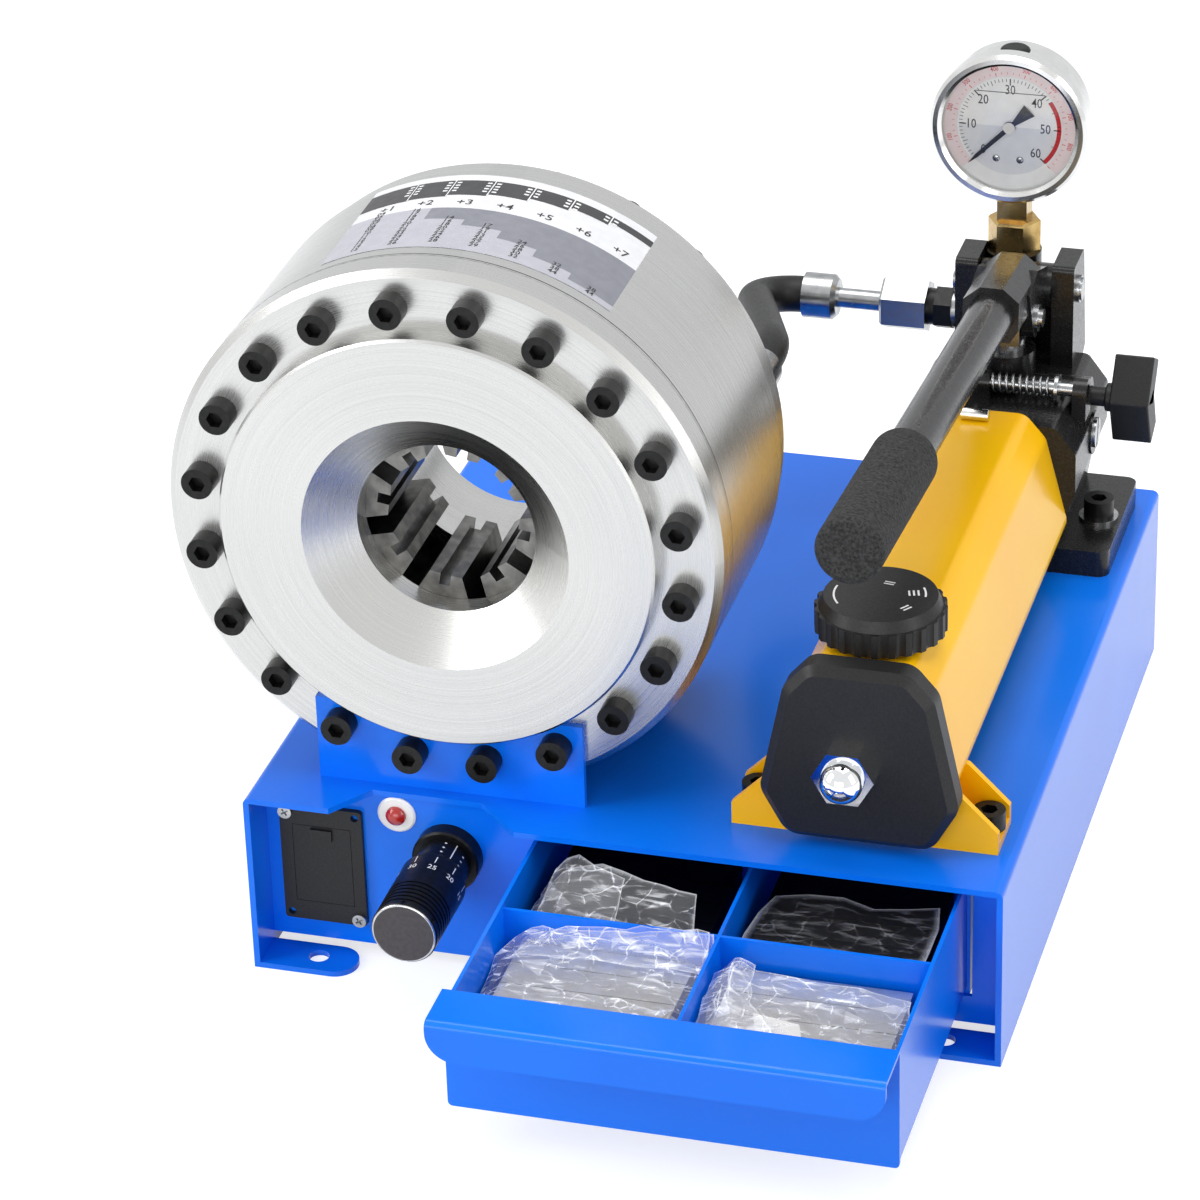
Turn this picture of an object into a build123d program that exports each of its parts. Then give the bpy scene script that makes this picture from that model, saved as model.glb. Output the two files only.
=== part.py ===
"""Bench-top hose crimping machine: sheet-steel base with a tool drawer, a ring-shaped
hydraulic crimp head with eight die shoes, and a hand pump with its pressure gauge.

Millimetres, +Z up, the operator stands at -Y. The origin lies on the floor at the
centre of the four foot holes."""
import math
import os

from build123d import *

os.makedirs("parts", exist_ok=True)

# Driving sizes of the base
BASE_W = 310.0
BASE_D = 341.0
BASE_H = 80.5
SHEET = 2.5
BEND = 3.0
FOOT_HOLE_X = BASE_W / 2 - 24.5
FOOT_HOLE_Y = BASE_D / 2 - 10.0
PANEL_SETBACK = 19.0
PANEL_T = 2.0
THIN = 1.5
PANEL_Y = -BASE_D / 2 + PANEL_SETBACK
PANEL_BACK = PANEL_Y + PANEL_T
WALL_IN = BASE_W / 2 - SHEET
DECK_UNDER = BASE_H - SHEET

# Driving sizes of the drawer, drawn out as it stands
DRAWER_OUT = 120.0
TRAY_X0 = -BASE_W / 2 + 118.0
TRAY_X1 = BASE_W / 2 - 18.5
TRAY_Z = 20.0
TRAY_TOP = BASE_H - 10.5
TRAY_LEN = 205.0
FRONT_TOP = TRAY_TOP + 3.0
LIP_REACH = 23.0
SKIRT_DROP = 17.0
RUN_GAP = 0.1
TRAY_Y0 = PANEL_Y - DRAWER_OUT
FRONT_Y = TRAY_Y0 - THIN
TRAY_Y1 = TRAY_Y0 + TRAY_LEN
CROSS_Y = TRAY_Y0 + 66.5
MID_X = (TRAY_X0 + TRAY_X1) / 2 + 1.25

# Driving sizes of the crimp head, axis along Y
PX = BASE_W / 2 - 60.5
HEAD_TO_PUMP = 169.0
HX = PX - HEAD_TO_PUMP
HZ = BASE_H + 114.5
FACE_Y = -BASE_D / 2 + 17.5
RING_Y = FACE_Y + 9.5
SEAM_Y = RING_Y + 16.0
BARREL_LEN = 78.0
BARREL_END = SEAM_Y + BARREL_LEN
REAR_Y = BARREL_END + 18.0
HEAD_R = 113.0
BARREL_R = HEAD_R - 0.3
RIM_R = 110.0
DISC_R = 88.6
FUNNEL_R = 54.4
BORE_R = 36.5
BOLT_PCR = 98.5
BOLT_COUNT = 20
BOLT_PITCH = 360.0 / BOLT_COUNT
BOLT_D = 8.0
BOLT_HEAD_D = 13.0
PLATE_T = 3.0
PLATE_W = 111.0
PLATE_TOP = HZ - 77.6
SLEEVE_BORE = 40.0
SLEEVE_R = 45.9
SLEEVE_END = BARREL_END - 28.5
RAM_FIT = 0.06
BARREL_BORE = 88.4
PORT_X = HX + 83.5
PORT_Z = HZ - 2.0

# Driving sizes of the eight die shoes and the ram that squeezes them
SHOE_COUNT = 8
SHOE_PHASE = 35.5
SHOE_IN = 26.5
SHOE_OUT_FRONT = 78.0
SHOE_REAR_Y = SLEEVE_END - 2.0
SHOE_TRAVEL = 9.5
KEY_IN = 50.0
KEY_OUT = 70.0
KEY_W = 4.0
KEYWAY_IN = KEY_IN - SHOE_TRAVEL - 0.5
KEYWAY_OUT = KEY_OUT + 0.6
RAM_STROKE = 20.0
SHOE_HALF_W = 6.7
SLOT_HALF_W = 2.2
SLOT_DEPTH = 5.0
TAPER = SHOE_TRAVEL / RAM_STROKE
SHOE_FRONT_Y = SEAM_Y + RUN_GAP
SECTOR = math.tan(math.radians(180.0 / SHOE_COUNT))

# Driving sizes of the hand pump
TANK_Y0 = -BASE_D / 2 + 26.5
CAP_T = 12.0
FOOT_W = 107.0
REAR_FOOT_Y1 = BASE_D / 2 - 12.5
REAR_FOOT_LEN = 72.0
REAR_FOOT_Y0 = REAR_FOOT_Y1 - REAR_FOOT_LEN
REAR_FOOT_T = 12.0
TANK_Y1 = REAR_FOOT_Y0 - 4.0
PUMP_BODY_H = 71.5
BODY_DECK = BASE_H + PUMP_BODY_H
EAR_Y0 = REAR_FOOT_Y1 - 18.0
EAR_Y1 = EAR_Y0 + 23.0
EAR_TOP = BODY_DECK + 47.0
EAR_IN = 16.3
EAR_OUT = 26.0
PIVOT_Y = EAR_Y0 + 9.0
PIVOT_Z = EAR_TOP - 13.0
LINK_ARM = 24.0
LINK_Y = PIVOT_Y - LINK_ARM
LINK_Z = PIVOT_Z - 4.0
RAM_Y = LINK_Y + 0.5
PLUNGER_R = 8.0
LEVER_SLOPE = 5.29
TUBE_R = 9.75
GRIP_R = 13.6
GAUGE_X = PX - 4.8
GAUGE_Y = EAR_Y1
GAUGE_Z = BODY_DECK + 106.5
PUMP_MID = PX - 0.5
FOOT_HALF_W = FOOT_W / 2
FRONT_BOLT_Y = TANK_Y0 + 14.0
REAR_BOLT_Y = REAR_FOOT_Y0 + 32.0
FRONT_SPOTS = [(PX - 46.5, FRONT_BOLT_Y), (PX + 46.5, FRONT_BOLT_Y)]
REAR_SPOTS = [(PX - 43.0, REAR_BOLT_Y), (PX + 43.0, REAR_BOLT_Y)]

# Driving sizes of what the front panel carries beside the drawer
BOX_X = -BASE_W / 2 + 26.3
BOX_Z = DECK_UNDER - 35.5
BOX_W = 35.0
BOX_H = 54.0
BOX_WALL = 1.2
LID_W = 24.5
LID_H = 36.0
LID_GAP = 0.2
LID_X = BOX_X + 0.2
LID_Z = BOX_Z
BAY_W = LID_W + 2 * LID_GAP
BAY_H = LID_H + 2 * LID_GAP
LAMP_X = BOX_X + 32.2
LAMP_Z = DECK_UNDER - 8.1
SCALE_X = LAMP_X + 21.5
SCALE_Z = DECK_UNDER - 24.0
OPEN_X0 = TRAY_X0 - 1.0
OPEN_X1 = TRAY_X1 + 2.8
OPEN_Z0 = TRAY_Z - 1.6
OPEN_Z1 = FRONT_TOP + 3.0
PANEL_Z0 = 6.0


def head_plane(y, turn=0.0):
    """Sketch plane across the head axis at depth y, facing the operator."""
    a = math.radians(turn)
    return Plane(origin=(HX, y, HZ), x_dir=(math.cos(a), 0, math.sin(a)), z_dir=(0, -1, 0))


def dome(radius, height, y):
    """Arc from the rim of a dome at depth y to its top, bulging towards the operator."""
    ball = (radius ** 2 + height ** 2) / (2 * height)
    half = math.atan2(radius, ball - height) / 2
    centre = y - height + ball
    middle = (ball * math.sin(half), centre - ball * math.cos(half))
    return ThreePointArc((radius, y), middle, (0, y - height))


def lever_point(s, n):
    """Point (y, z) at distance s along the lever from its pivot and n above its axis."""
    b = math.radians(LEVER_SLOPE)
    y0 = PIVOT_Y
    z0 = PIVOT_Z + 6.5
    return (y0 - s * math.cos(b) + n * math.sin(b), z0 + s * math.sin(b) + n * math.cos(b))


# Base frame: folded sheet with foot tabs and a notch in front of the gauge panel
with BuildPart() as base_frame:
    with BuildSketch(Plane.XZ.offset(BASE_D / 2)):
        with Locations((0, BASE_H / 2)):
            Rectangle(BASE_W, BASE_H)
        with Locations((0, DECK_UNDER / 2)):
            Rectangle(2 * WALL_IN, DECK_UNDER, mode=Mode.SUBTRACT)
    extrude(amount=-BASE_D)
    fillet(base_frame.edges().filter_by(Axis.Y).group_by(Axis.Z)[-1], BEND)
    with BuildSketch(Plane.XY):
        for sx in (-1, 1):
            for sy in (-1, 1):
                with Locations((sx * (WALL_IN - 14.5), sy * (BASE_D - PANEL_SETBACK) / 2)):
                    Rectangle(30, PANEL_SETBACK)
                with Locations((sx * (WALL_IN - 29.5), sy * (BASE_D - PANEL_SETBACK) / 2)):
                    Circle(PANEL_SETBACK / 2)
    extrude(amount=SHEET)
    with BuildSketch(Plane.XY):
        with Locations(*[(sx * FOOT_HOLE_X, sy * FOOT_HOLE_Y) for sx in (-1, 1) for sy in (-1, 1)]):
            Circle(4.25)
    extrude(amount=SHEET, mode=Mode.SUBTRACT)
    with BuildSketch(Plane.XY.offset(BASE_H)):
        with BuildLine():
            Polyline((SCALE_X - 44, -BASE_D / 2 - 0.5), (SCALE_X - 31, PANEL_Y - 1),
                     (SCALE_X + 15, PANEL_Y - 1), (SCALE_X + 34, -BASE_D / 2 - 0.5), close=True)
        make_face()
        with Locations(*FRONT_SPOTS, *REAR_SPOTS):
            Circle(4.3)
    extrude(amount=-SHEET, mode=Mode.SUBTRACT)
base_frame.part.label = "base_frame"
export_step(base_frame.part, "parts/base_frame.step")

# Front panel with the drawer opening, the battery cut-out and two instrument holes
with BuildPart() as front_panel:
    with BuildSketch(Plane.XZ.offset(-PANEL_Y)):
        with Locations((0, (PANEL_Z0 + DECK_UNDER) / 2)):
            Rectangle(2 * WALL_IN, DECK_UNDER - PANEL_Z0)
        with Locations(((OPEN_X0 + OPEN_X1) / 2, (OPEN_Z0 + OPEN_Z1) / 2)):
            Rectangle(OPEN_X1 - OPEN_X0, OPEN_Z1 - OPEN_Z0, mode=Mode.SUBTRACT)
        with Locations((LID_X, LID_Z)):
            Rectangle(BAY_W + 2 * BOX_WALL + 0.6, BAY_H + 2 * BOX_WALL + 0.6, mode=Mode.SUBTRACT)
        with Locations((LAMP_X, LAMP_Z)):
            Circle(5.0, mode=Mode.SUBTRACT)
        with Locations((SCALE_X, SCALE_Z)):
            Circle(6.0, mode=Mode.SUBTRACT)
    extrude(amount=-PANEL_T)
front_panel.part.label = "front_panel"
export_step(front_panel.part, "parts/front_panel.step")

# Rear panel, plain, set in like the front one
with BuildPart() as rear_panel:
    with BuildSketch(Plane.XZ.offset(PANEL_Y + PANEL_T)):
        with Locations((0, (PANEL_Z0 + DECK_UNDER) / 2)):
            Rectangle(2 * WALL_IN, DECK_UNDER - PANEL_Z0)
    extrude(amount=-PANEL_T)
rear_panel.part.label = "rear_panel"
export_step(rear_panel.part, "parts/rear_panel.step")

# Drawer guides: two folded channels from panel to panel
GUIDE_LEN = 2 * (-PANEL_BACK)
with BuildPart() as drawer_guides:
    with BuildSketch(Plane.XZ.offset(-PANEL_BACK)):
        for side, wall in ((1, TRAY_X0 - RUN_GAP), (-1, TRAY_X1 + RUN_GAP)):
            lower = TRAY_Z - RUN_GAP
            upper = TRAY_TOP + 0.3
            with Locations((wall - side * THIN / 2, (lower + upper) / 2)):
                Rectangle(THIN, upper - lower + 2 * THIN)
            with Locations((wall + side * 8, lower - THIN / 2)):
                Rectangle(16, THIN)
            with Locations((wall + side * 3.5, upper + THIN / 2)):
                Rectangle(7, THIN)
    extrude(amount=-GUIDE_LEN)
drawer_guides.part.label = "drawer_guides"
export_step(drawer_guides.part, "parts/drawer_guides.step")

# Drawer: tray, front plate, forward lip and hanging skirt of folded sheet
FACE_X0 = TRAY_X0 - 2.2
FACE_X1 = TRAY_X1 + 1.0
LIP_Y = FRONT_Y - LIP_REACH
SKIRT_Z = FRONT_TOP - SKIRT_DROP
TRAY_W = TRAY_X1 - TRAY_X0
TRAY_XM = (TRAY_X0 + TRAY_X1) / 2
TRAY_YM = (TRAY_Y0 + TRAY_Y1) / 2
with BuildPart() as drawer:
    with BuildSketch(Plane.XY.offset(TRAY_Z)):
        with Locations((TRAY_XM, TRAY_YM)):
            Rectangle(TRAY_W, TRAY_LEN)
    extrude(amount=TRAY_TOP - TRAY_Z)
    with BuildSketch(Plane.XY.offset(TRAY_Z + THIN)):
        with Locations((TRAY_XM, TRAY_YM)):
            Rectangle(TRAY_W - 2 * THIN, TRAY_LEN - 2 * THIN)
    extrude(amount=TRAY_TOP, mode=Mode.SUBTRACT)
    with BuildSketch(Plane.YZ.offset(FACE_X0)):
        with BuildLine():
            Polyline((TRAY_Y0, TRAY_Z), (FRONT_Y, TRAY_Z), (FRONT_Y, FRONT_TOP - THIN),
                     (LIP_Y + THIN, FRONT_TOP - THIN), (LIP_Y + THIN, SKIRT_Z), (LIP_Y, SKIRT_Z),
                     (LIP_Y, FRONT_TOP), (TRAY_Y0, FRONT_TOP), close=True)
        make_face()
    extrude(amount=FACE_X1 - FACE_X0)
    outer_front = drawer.edges().filter_by(Axis.X).sort_by_distance((0, LIP_Y, FRONT_TOP))[0]
    fillet(outer_front, BEND)
    outer_back = drawer.edges().filter_by(Axis.X).sort_by_distance((TRAY_XM, TRAY_Y0, FRONT_TOP))[0]
    fillet(outer_back, 1.4)
    skirt_ends = drawer.edges().filter_by(Axis.Y).filter_by_position(Axis.Z, SKIRT_Z - 0.1, SKIRT_Z + 0.1)
    fillet(skirt_ends, 12.0)
    toes = drawer.edges().filter_by(Axis.Y).filter_by_position(Axis.Z, TRAY_Z - 0.1, TRAY_Z + 0.1)
    toes = toes.filter_by_position(Axis.Y, FRONT_Y - 0.1, TRAY_Y0 + 0.1)
    fillet(toes, 2.0)
drawer.part.label = "drawer"
export_step(drawer.part, "parts/drawer.step")

# Drawer dividers: one long and one cross plate
DIVIDER_TOP = TRAY_TOP - 2.5
with BuildPart() as drawer_dividers:
    with BuildSketch(Plane.XY.offset(TRAY_Z + THIN)):
        with Locations((MID_X, TRAY_YM)):
            Rectangle(THIN, TRAY_LEN - 2 * THIN)
        with Locations((TRAY_XM, CROSS_Y)):
            Rectangle(TRAY_W - 2 * THIN, THIN)
    extrude(amount=DIVIDER_TOP - TRAY_Z - THIN)
drawer_dividers.part.label = "drawer_dividers"
export_step(drawer_dividers.part, "parts/drawer_dividers.step")

# Spare die segments: four sets of eight, stacked two high in the compartments
CELL_W = MID_X - THIN / 2 - TRAY_X0 - THIN
DIE_LEN = CELL_W - 15.75
DIE_H = 17.0
DIE_PITCH = 14.6
CELL_X0 = (TRAY_X0 + THIN + MID_X - THIN / 2) / 2
CELL_X1 = (MID_X + THIN / 2 + TRAY_X1 - THIN) / 2
SET_X = (CELL_X0 + 0.125, CELL_X1 + 0.125)
SET_Y = (CROSS_Y - 33.0, CROSS_Y + 40.0)
SET_CENTRES = [(x, y) for y in SET_Y for x in SET_X]
with BuildPart() as spare_dies:
    for cx, cy in SET_CENTRES:
        with BuildSketch(Plane.YZ.offset(cx - DIE_LEN / 2)):
            for row in range(2):
                for col in range(4):
                    yc = cy + (col - 1.5) * DIE_PITCH
                    z0 = TRAY_Z + THIN + row * (DIE_H + RUN_GAP)
                    low = 7.1 if row == 0 else 5.4
                    high = 5.4 if row == 0 else 7.1
                    with BuildLine():
                        Polyline((yc - low, z0), (yc + low, z0), (yc + high, z0 + DIE_H),
                                 (yc - high, z0 + DIE_H), close=True)
                    make_face()
        extrude(amount=DIE_LEN)
spare_dies.part.label = "spare_dies"
export_step(spare_dies.part, "parts/spare_dies.step")

# Brackets that carry the head: one against each flange, welded to the deck
DISC_CLEAR = 0.6


def bracket(y_front):
    """Upright plate with an arc cut for the head disc and four bolt holes."""
    with BuildPart() as plate:
        with BuildSketch(Plane.XZ.offset(-y_front)):
            with Locations((HX, (BASE_H + PLATE_TOP) / 2)):
                Rectangle(PLATE_W, PLATE_TOP - BASE_H)
            with Locations((HX, HZ)):
                Circle(DISC_R + DISC_CLEAR, mode=Mode.SUBTRACT)
                with PolarLocations(BOLT_PCR, 4, 270 - 1.5 * BOLT_PITCH, 4 * BOLT_PITCH, endpoint=False):
                    Circle(4.3, mode=Mode.SUBTRACT)
        extrude(amount=-PLATE_T)
    return plate.part


head_bracket_front = bracket(RING_Y - PLATE_T)
head_bracket_front.label = "head_bracket_front"
export_step(head_bracket_front, "parts/head_bracket_front.step")
head_bracket_rear = bracket(REAR_Y)
head_bracket_rear.label = "head_bracket_rear"
export_step(head_bracket_rear, "parts/head_bracket_rear.step")

# Front flange: bolted ring, raised disc, funnel mouth and eight keyways behind it
with BuildPart() as front_flange:
    with BuildSketch(Plane(origin=(HX, 0, HZ), x_dir=(1, 0, 0), z_dir=(0, 0, 1))):
        with BuildLine():
            Polyline((BORE_R, SEAM_Y), (HEAD_R, SEAM_Y), (HEAD_R, RING_Y + 3), (RIM_R, RING_Y),
                     (DISC_R, RING_Y), (DISC_R, FACE_Y + 1), (DISC_R - 1, FACE_Y),
                     (FUNNEL_R, FACE_Y), (BORE_R, FACE_Y + 15.5), close=True)
        make_face()
    revolve(axis=Axis((HX, 0, HZ), (0, 1, 0)))
    with BuildSketch(head_plane(RING_Y)):
        with PolarLocations(BOLT_PCR, BOLT_COUNT, 90 - BOLT_PITCH / 2):
            Circle(4.3)
    extrude(amount=RING_Y - SEAM_Y, mode=Mode.SUBTRACT)
    with BuildSketch(head_plane(SEAM_Y, SHOE_PHASE)):
        with PolarLocations((KEYWAY_IN + KEYWAY_OUT) / 2, SHOE_COUNT, rotate=True):
            Rectangle(KEYWAY_OUT - KEYWAY_IN, KEY_W + 2 * RUN_GAP)
    extrude(amount=3.2, mode=Mode.SUBTRACT)
front_flange.part.label = "front_flange"
export_step(front_flange.part, "parts/front_flange.step")

# Barrel with tapped bolt circles at both ends
THREAD_R = 4.1
with BuildPart() as barrel:
    with BuildSketch(head_plane(SEAM_Y)):
        Circle(BARREL_R)
        Circle(BARREL_BORE, mode=Mode.SUBTRACT)
    extrude(amount=SEAM_Y - BARREL_END)
    with BuildSketch(head_plane(SEAM_Y)):
        with PolarLocations(BOLT_PCR, BOLT_COUNT, 90 - BOLT_PITCH / 2):
            Circle(THREAD_R)
    extrude(amount=-22.5, mode=Mode.SUBTRACT)
    with BuildSketch(head_plane(BARREL_END)):
        with PolarLocations(BOLT_PCR, BOLT_COUNT, 90 - BOLT_PITCH / 2):
            Circle(THREAD_R)
    extrude(amount=22.5, mode=Mode.SUBTRACT)
barrel.part.label = "barrel"
export_step(barrel.part, "parts/barrel.step")

# Rear flange with the sleeve that guides the ram, and the oil port
PORT_R = 3.0
with BuildPart() as rear_flange:
    with BuildSketch(Plane(origin=(HX, 0, HZ), x_dir=(1, 0, 0), z_dir=(0, 0, 1))):
        with BuildLine():
            Polyline((SLEEVE_BORE, SLEEVE_END), (SLEEVE_R, SLEEVE_END), (SLEEVE_R, BARREL_END),
                     (RIM_R, BARREL_END), (RIM_R, REAR_Y - 2), (RIM_R - 2, REAR_Y),
                     (SLEEVE_BORE + 6, REAR_Y), (SLEEVE_BORE, REAR_Y - 6), close=True)
        make_face()
    revolve(axis=Axis((HX, 0, HZ), (0, 1, 0)))
    with BuildSketch(head_plane(REAR_Y)):
        with PolarLocations(BOLT_PCR, BOLT_COUNT, 90 - BOLT_PITCH / 2):
            Circle(4.3)
        with Locations((PORT_X - HX, PORT_Z - HZ)):
            Circle(PORT_R)
    extrude(amount=REAR_Y - BARREL_END, mode=Mode.SUBTRACT)
rear_flange.part.label = "rear_flange"
export_step(rear_flange.part, "parts/rear_flange.step")

# Ring ram with eight flat tapered faces that push the shoes inwards
RAM_Y0 = SEAM_Y + 21.5
RAM_Y1 = BARREL_END - 2.0
CONE_END = BARREL_END - 10.5
FLAT_GAP = 0.1


def flat_radius(y):
    """Distance of the shoe back faces from the head axis at depth y, shoes open."""
    return SHOE_OUT_FRONT - TAPER * (y - SHOE_FRONT_Y)


with BuildPart() as ram:
    with BuildSketch(head_plane(RAM_Y0)):
        Circle(BARREL_BORE - RAM_FIT)
        Circle(SLEEVE_R + RAM_FIT, mode=Mode.SUBTRACT)
    extrude(amount=RAM_Y0 - RAM_Y1)
    with BuildSketch(head_plane(RAM_Y0, SHOE_PHASE)):
        RegularPolygon(flat_radius(RAM_Y0) + FLAT_GAP, SHOE_COUNT, major_radius=False, rotation=22.5)
    with BuildSketch(head_plane(CONE_END, SHOE_PHASE)):
        RegularPolygon(flat_radius(CONE_END) + FLAT_GAP, SHOE_COUNT, major_radius=False, rotation=22.5)
    loft(mode=Mode.SUBTRACT)
    fillet(ram.edges().filter_by(GeomType.CIRCLE).group_by(Axis.Y)[0].sort_by(SortBy.RADIUS)[-1:], 1.5)
ram.part.label = "ram"
export_step(ram.part, "parts/ram.step")

# Eight die shoes: wedge sectors with a die slot inside and a guide key in front
for i in range(SHOE_COUNT):
    phi = SHOE_PHASE + i * 360.0 / SHOE_COUNT
    a = math.radians(phi)
    radial = (math.cos(a), 0, math.sin(a))
    side_plane = Plane(origin=(HX, 0, HZ), x_dir=radial, z_dir=(-math.sin(a), 0, math.cos(a)))
    with BuildPart() as shoe:
        with BuildSketch(side_plane):
            with BuildLine():
                Polyline((SHOE_IN, SHOE_FRONT_Y), (SHOE_IN, SHOE_REAR_Y),
                         (flat_radius(SHOE_REAR_Y), SHOE_REAR_Y),
                         (flat_radius(SHOE_FRONT_Y), SHOE_FRONT_Y), close=True)
            make_face()
        extrude(amount=40, both=True)
        with BuildSketch(head_plane(SHOE_FRONT_Y, phi)):
            far_w = SHOE_HALF_W + (90 - SHOE_IN) * SECTOR
            with BuildLine():
                Polyline((SHOE_IN, -SHOE_HALF_W), (90, -far_w), (90, far_w), (SHOE_IN, SHOE_HALF_W),
                         (SHOE_IN, SLOT_HALF_W), (SHOE_IN + SLOT_DEPTH, SLOT_HALF_W),
                         (SHOE_IN + SLOT_DEPTH, -SLOT_HALF_W), (SHOE_IN, -SLOT_HALF_W), close=True)
            make_face()
        extrude(amount=SHOE_FRONT_Y - SHOE_REAR_Y, mode=Mode.INTERSECT)
        with BuildSketch(head_plane(SHOE_FRONT_Y, phi)):
            with Locations(((KEY_IN + KEY_OUT) / 2, 0)):
                Rectangle(KEY_OUT - KEY_IN, KEY_W)
        extrude(amount=3.0)
    shoe.part.label = "die_shoe_%d" % (i + 1)
    export_step(shoe.part, "parts/die_shoe_%d.step" % (i + 1))

# Socket-head screws of both flanges; the four lowest of each circle clamp a bracket too
HEAD_H = 8.0
BOLT_REACH = 19.5
LOW_ANGLES = [270 + k * BOLT_PITCH for k in (-1.5, -0.5, 0.5, 1.5)]
HIGH_ANGLES = [90 + (k + 0.5) * BOLT_PITCH for k in range(-8, 8)]


def polar(radius, angle):
    """Point at a radius and angle in a head plane."""
    return (radius * math.cos(math.radians(angle)), radius * math.sin(math.radians(angle)))


with BuildPart() as head_bolts:
    for seat, angles in ((RING_Y, HIGH_ANGLES), (RING_Y - PLATE_T, LOW_ANGLES)):
        spots = [polar(BOLT_PCR, t) for t in angles]
        with BuildSketch(head_plane(seat)):
            with Locations(*spots):
                Circle(BOLT_HEAD_D / 2)
        extrude(amount=HEAD_H)
        with BuildSketch(head_plane(seat)):
            with Locations(*spots):
                Circle(BOLT_D / 2)
        extrude(amount=seat - SEAM_Y - BOLT_REACH)
        with BuildSketch(head_plane(seat - HEAD_H)):
            with Locations(*spots):
                RegularPolygon(3.0, 6, major_radius=False)
        extrude(amount=-4.0, mode=Mode.SUBTRACT)
    for seat, angles in ((REAR_Y, HIGH_ANGLES), (REAR_Y + PLATE_T, LOW_ANGLES)):
        spots = [polar(BOLT_PCR, t) for t in angles]
        with BuildSketch(head_plane(seat)):
            with Locations(*spots):
                Circle(BOLT_HEAD_D / 2)
        extrude(amount=-HEAD_H)
        with BuildSketch(head_plane(seat)):
            with Locations(*spots):
                Circle(BOLT_D / 2)
        extrude(amount=seat - BARREL_END + BOLT_REACH)
        with BuildSketch(head_plane(seat + HEAD_H)):
            with Locations(*spots):
                RegularPolygon(3.0, 6, major_radius=False)
        extrude(amount=4.0, mode=Mode.SUBTRACT)
head_bolts.part.label = "head_bolts"
export_step(head_bolts.part, "parts/head_bolts.step")

# Oil line at the head: port adaptor, swivel nut, crimped hose end, hose
NUT_END = REAR_Y + 31.5
FERRULE_END = NUT_END + 30.0
LINE_Y = PIVOT_Y - 1.0
LINE_Z = PIVOT_Z - 14.5
PUMP_SIDE = PX - EAR_OUT
WASHER_T = 2.0
port_axis = Plane(origin=(PORT_X, REAR_Y, PORT_Z), x_dir=(1, 0, 0), z_dir=(0, 1, 0))
with BuildPart() as port_adaptor:
    with BuildSketch(port_axis):
        RegularPolygon(9.0, 6, major_radius=False)
    extrude(amount=9.5)
    with BuildSketch(port_axis.offset(9.5)):
        Circle(6.5)
    extrude(amount=7.5)
    with BuildSketch(port_axis):
        Circle(PORT_R)
    extrude(amount=17, mode=Mode.SUBTRACT)
port_adaptor.part.label = "port_adaptor"
export_step(port_adaptor.part, "parts/port_adaptor.step")

with BuildPart() as head_hose_nut:
    with BuildSketch(port_axis.offset(9.7)):
        RegularPolygon(11.0, 6, major_radius=False)
        Circle(6.7, mode=Mode.SUBTRACT)
    extrude(amount=NUT_END - REAR_Y - 9.7)
    with BuildSketch(port_axis.offset(17.5)):
        Circle(9.0)
    extrude(amount=NUT_END - REAR_Y - 17.5)
    with BuildSketch(port_axis.offset(17.5)):
        Circle(4.2)
    extrude(amount=NUT_END - REAR_Y - 17.5, mode=Mode.SUBTRACT)
    chamfer(head_hose_nut.faces().sort_by(Axis.Y)[-1].outer_wire().edges(), 1.0)
head_hose_nut.part.label = "head_hose_nut"
export_step(head_hose_nut.part, "parts/head_hose_nut.step")

HOSE_R = 8.0
FERRULE_R = 10.0
NUT_X1 = PUMP_SIDE - 13.0
NUT_X0 = NUT_X1 - 20.5
SOCKET_X1 = NUT_X0 - 20.0
BEND_X = PORT_X - 33.5
ADAPT_X1 = PUMP_SIDE - WASHER_T
SOCKET_LEN = 15.0
HOSE_IN = 4.0
line_axis = Plane(origin=(PUMP_SIDE, LINE_Y, LINE_Z), x_dir=(0, 1, 0), z_dir=(-1, 0, 0))
with BuildPart() as hose_ends:
    with BuildSketch(line_axis.offset(PUMP_SIDE - SOCKET_X1)):
        Circle(FERRULE_R)
    extrude(amount=SOCKET_LEN)
    with BuildSketch(line_axis.offset(PUMP_SIDE - SOCKET_X1 + HOSE_IN)):
        Circle(HOSE_R)
    extrude(amount=SOCKET_LEN, mode=Mode.SUBTRACT)
    chamfer(hose_ends.faces().sort_by(Axis.X)[-1].outer_wire().edges(), 2.0)
    with BuildSketch(line_axis.offset(PUMP_SIDE - NUT_X0 - 6.0)):
        Circle(4.4)
    extrude(amount=NUT_X0 + 6.0 - SOCKET_X1)
    with BuildSketch(port_axis.offset(NUT_END - REAR_Y)):
        Circle(FERRULE_R)
    extrude(amount=FERRULE_END - NUT_END)
    with BuildSketch(port_axis.offset(NUT_END - REAR_Y + HOSE_IN)):
        Circle(HOSE_R)
    extrude(amount=FERRULE_END - NUT_END, mode=Mode.SUBTRACT)
    with BuildSketch(port_axis.offset(18.0)):
        Circle(4.1)
    extrude(amount=NUT_END - REAR_Y - 18.0)
hose_ends.part.label = "hose_ends"
export_step(hose_ends.part, "parts/hose_ends.step")

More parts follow.
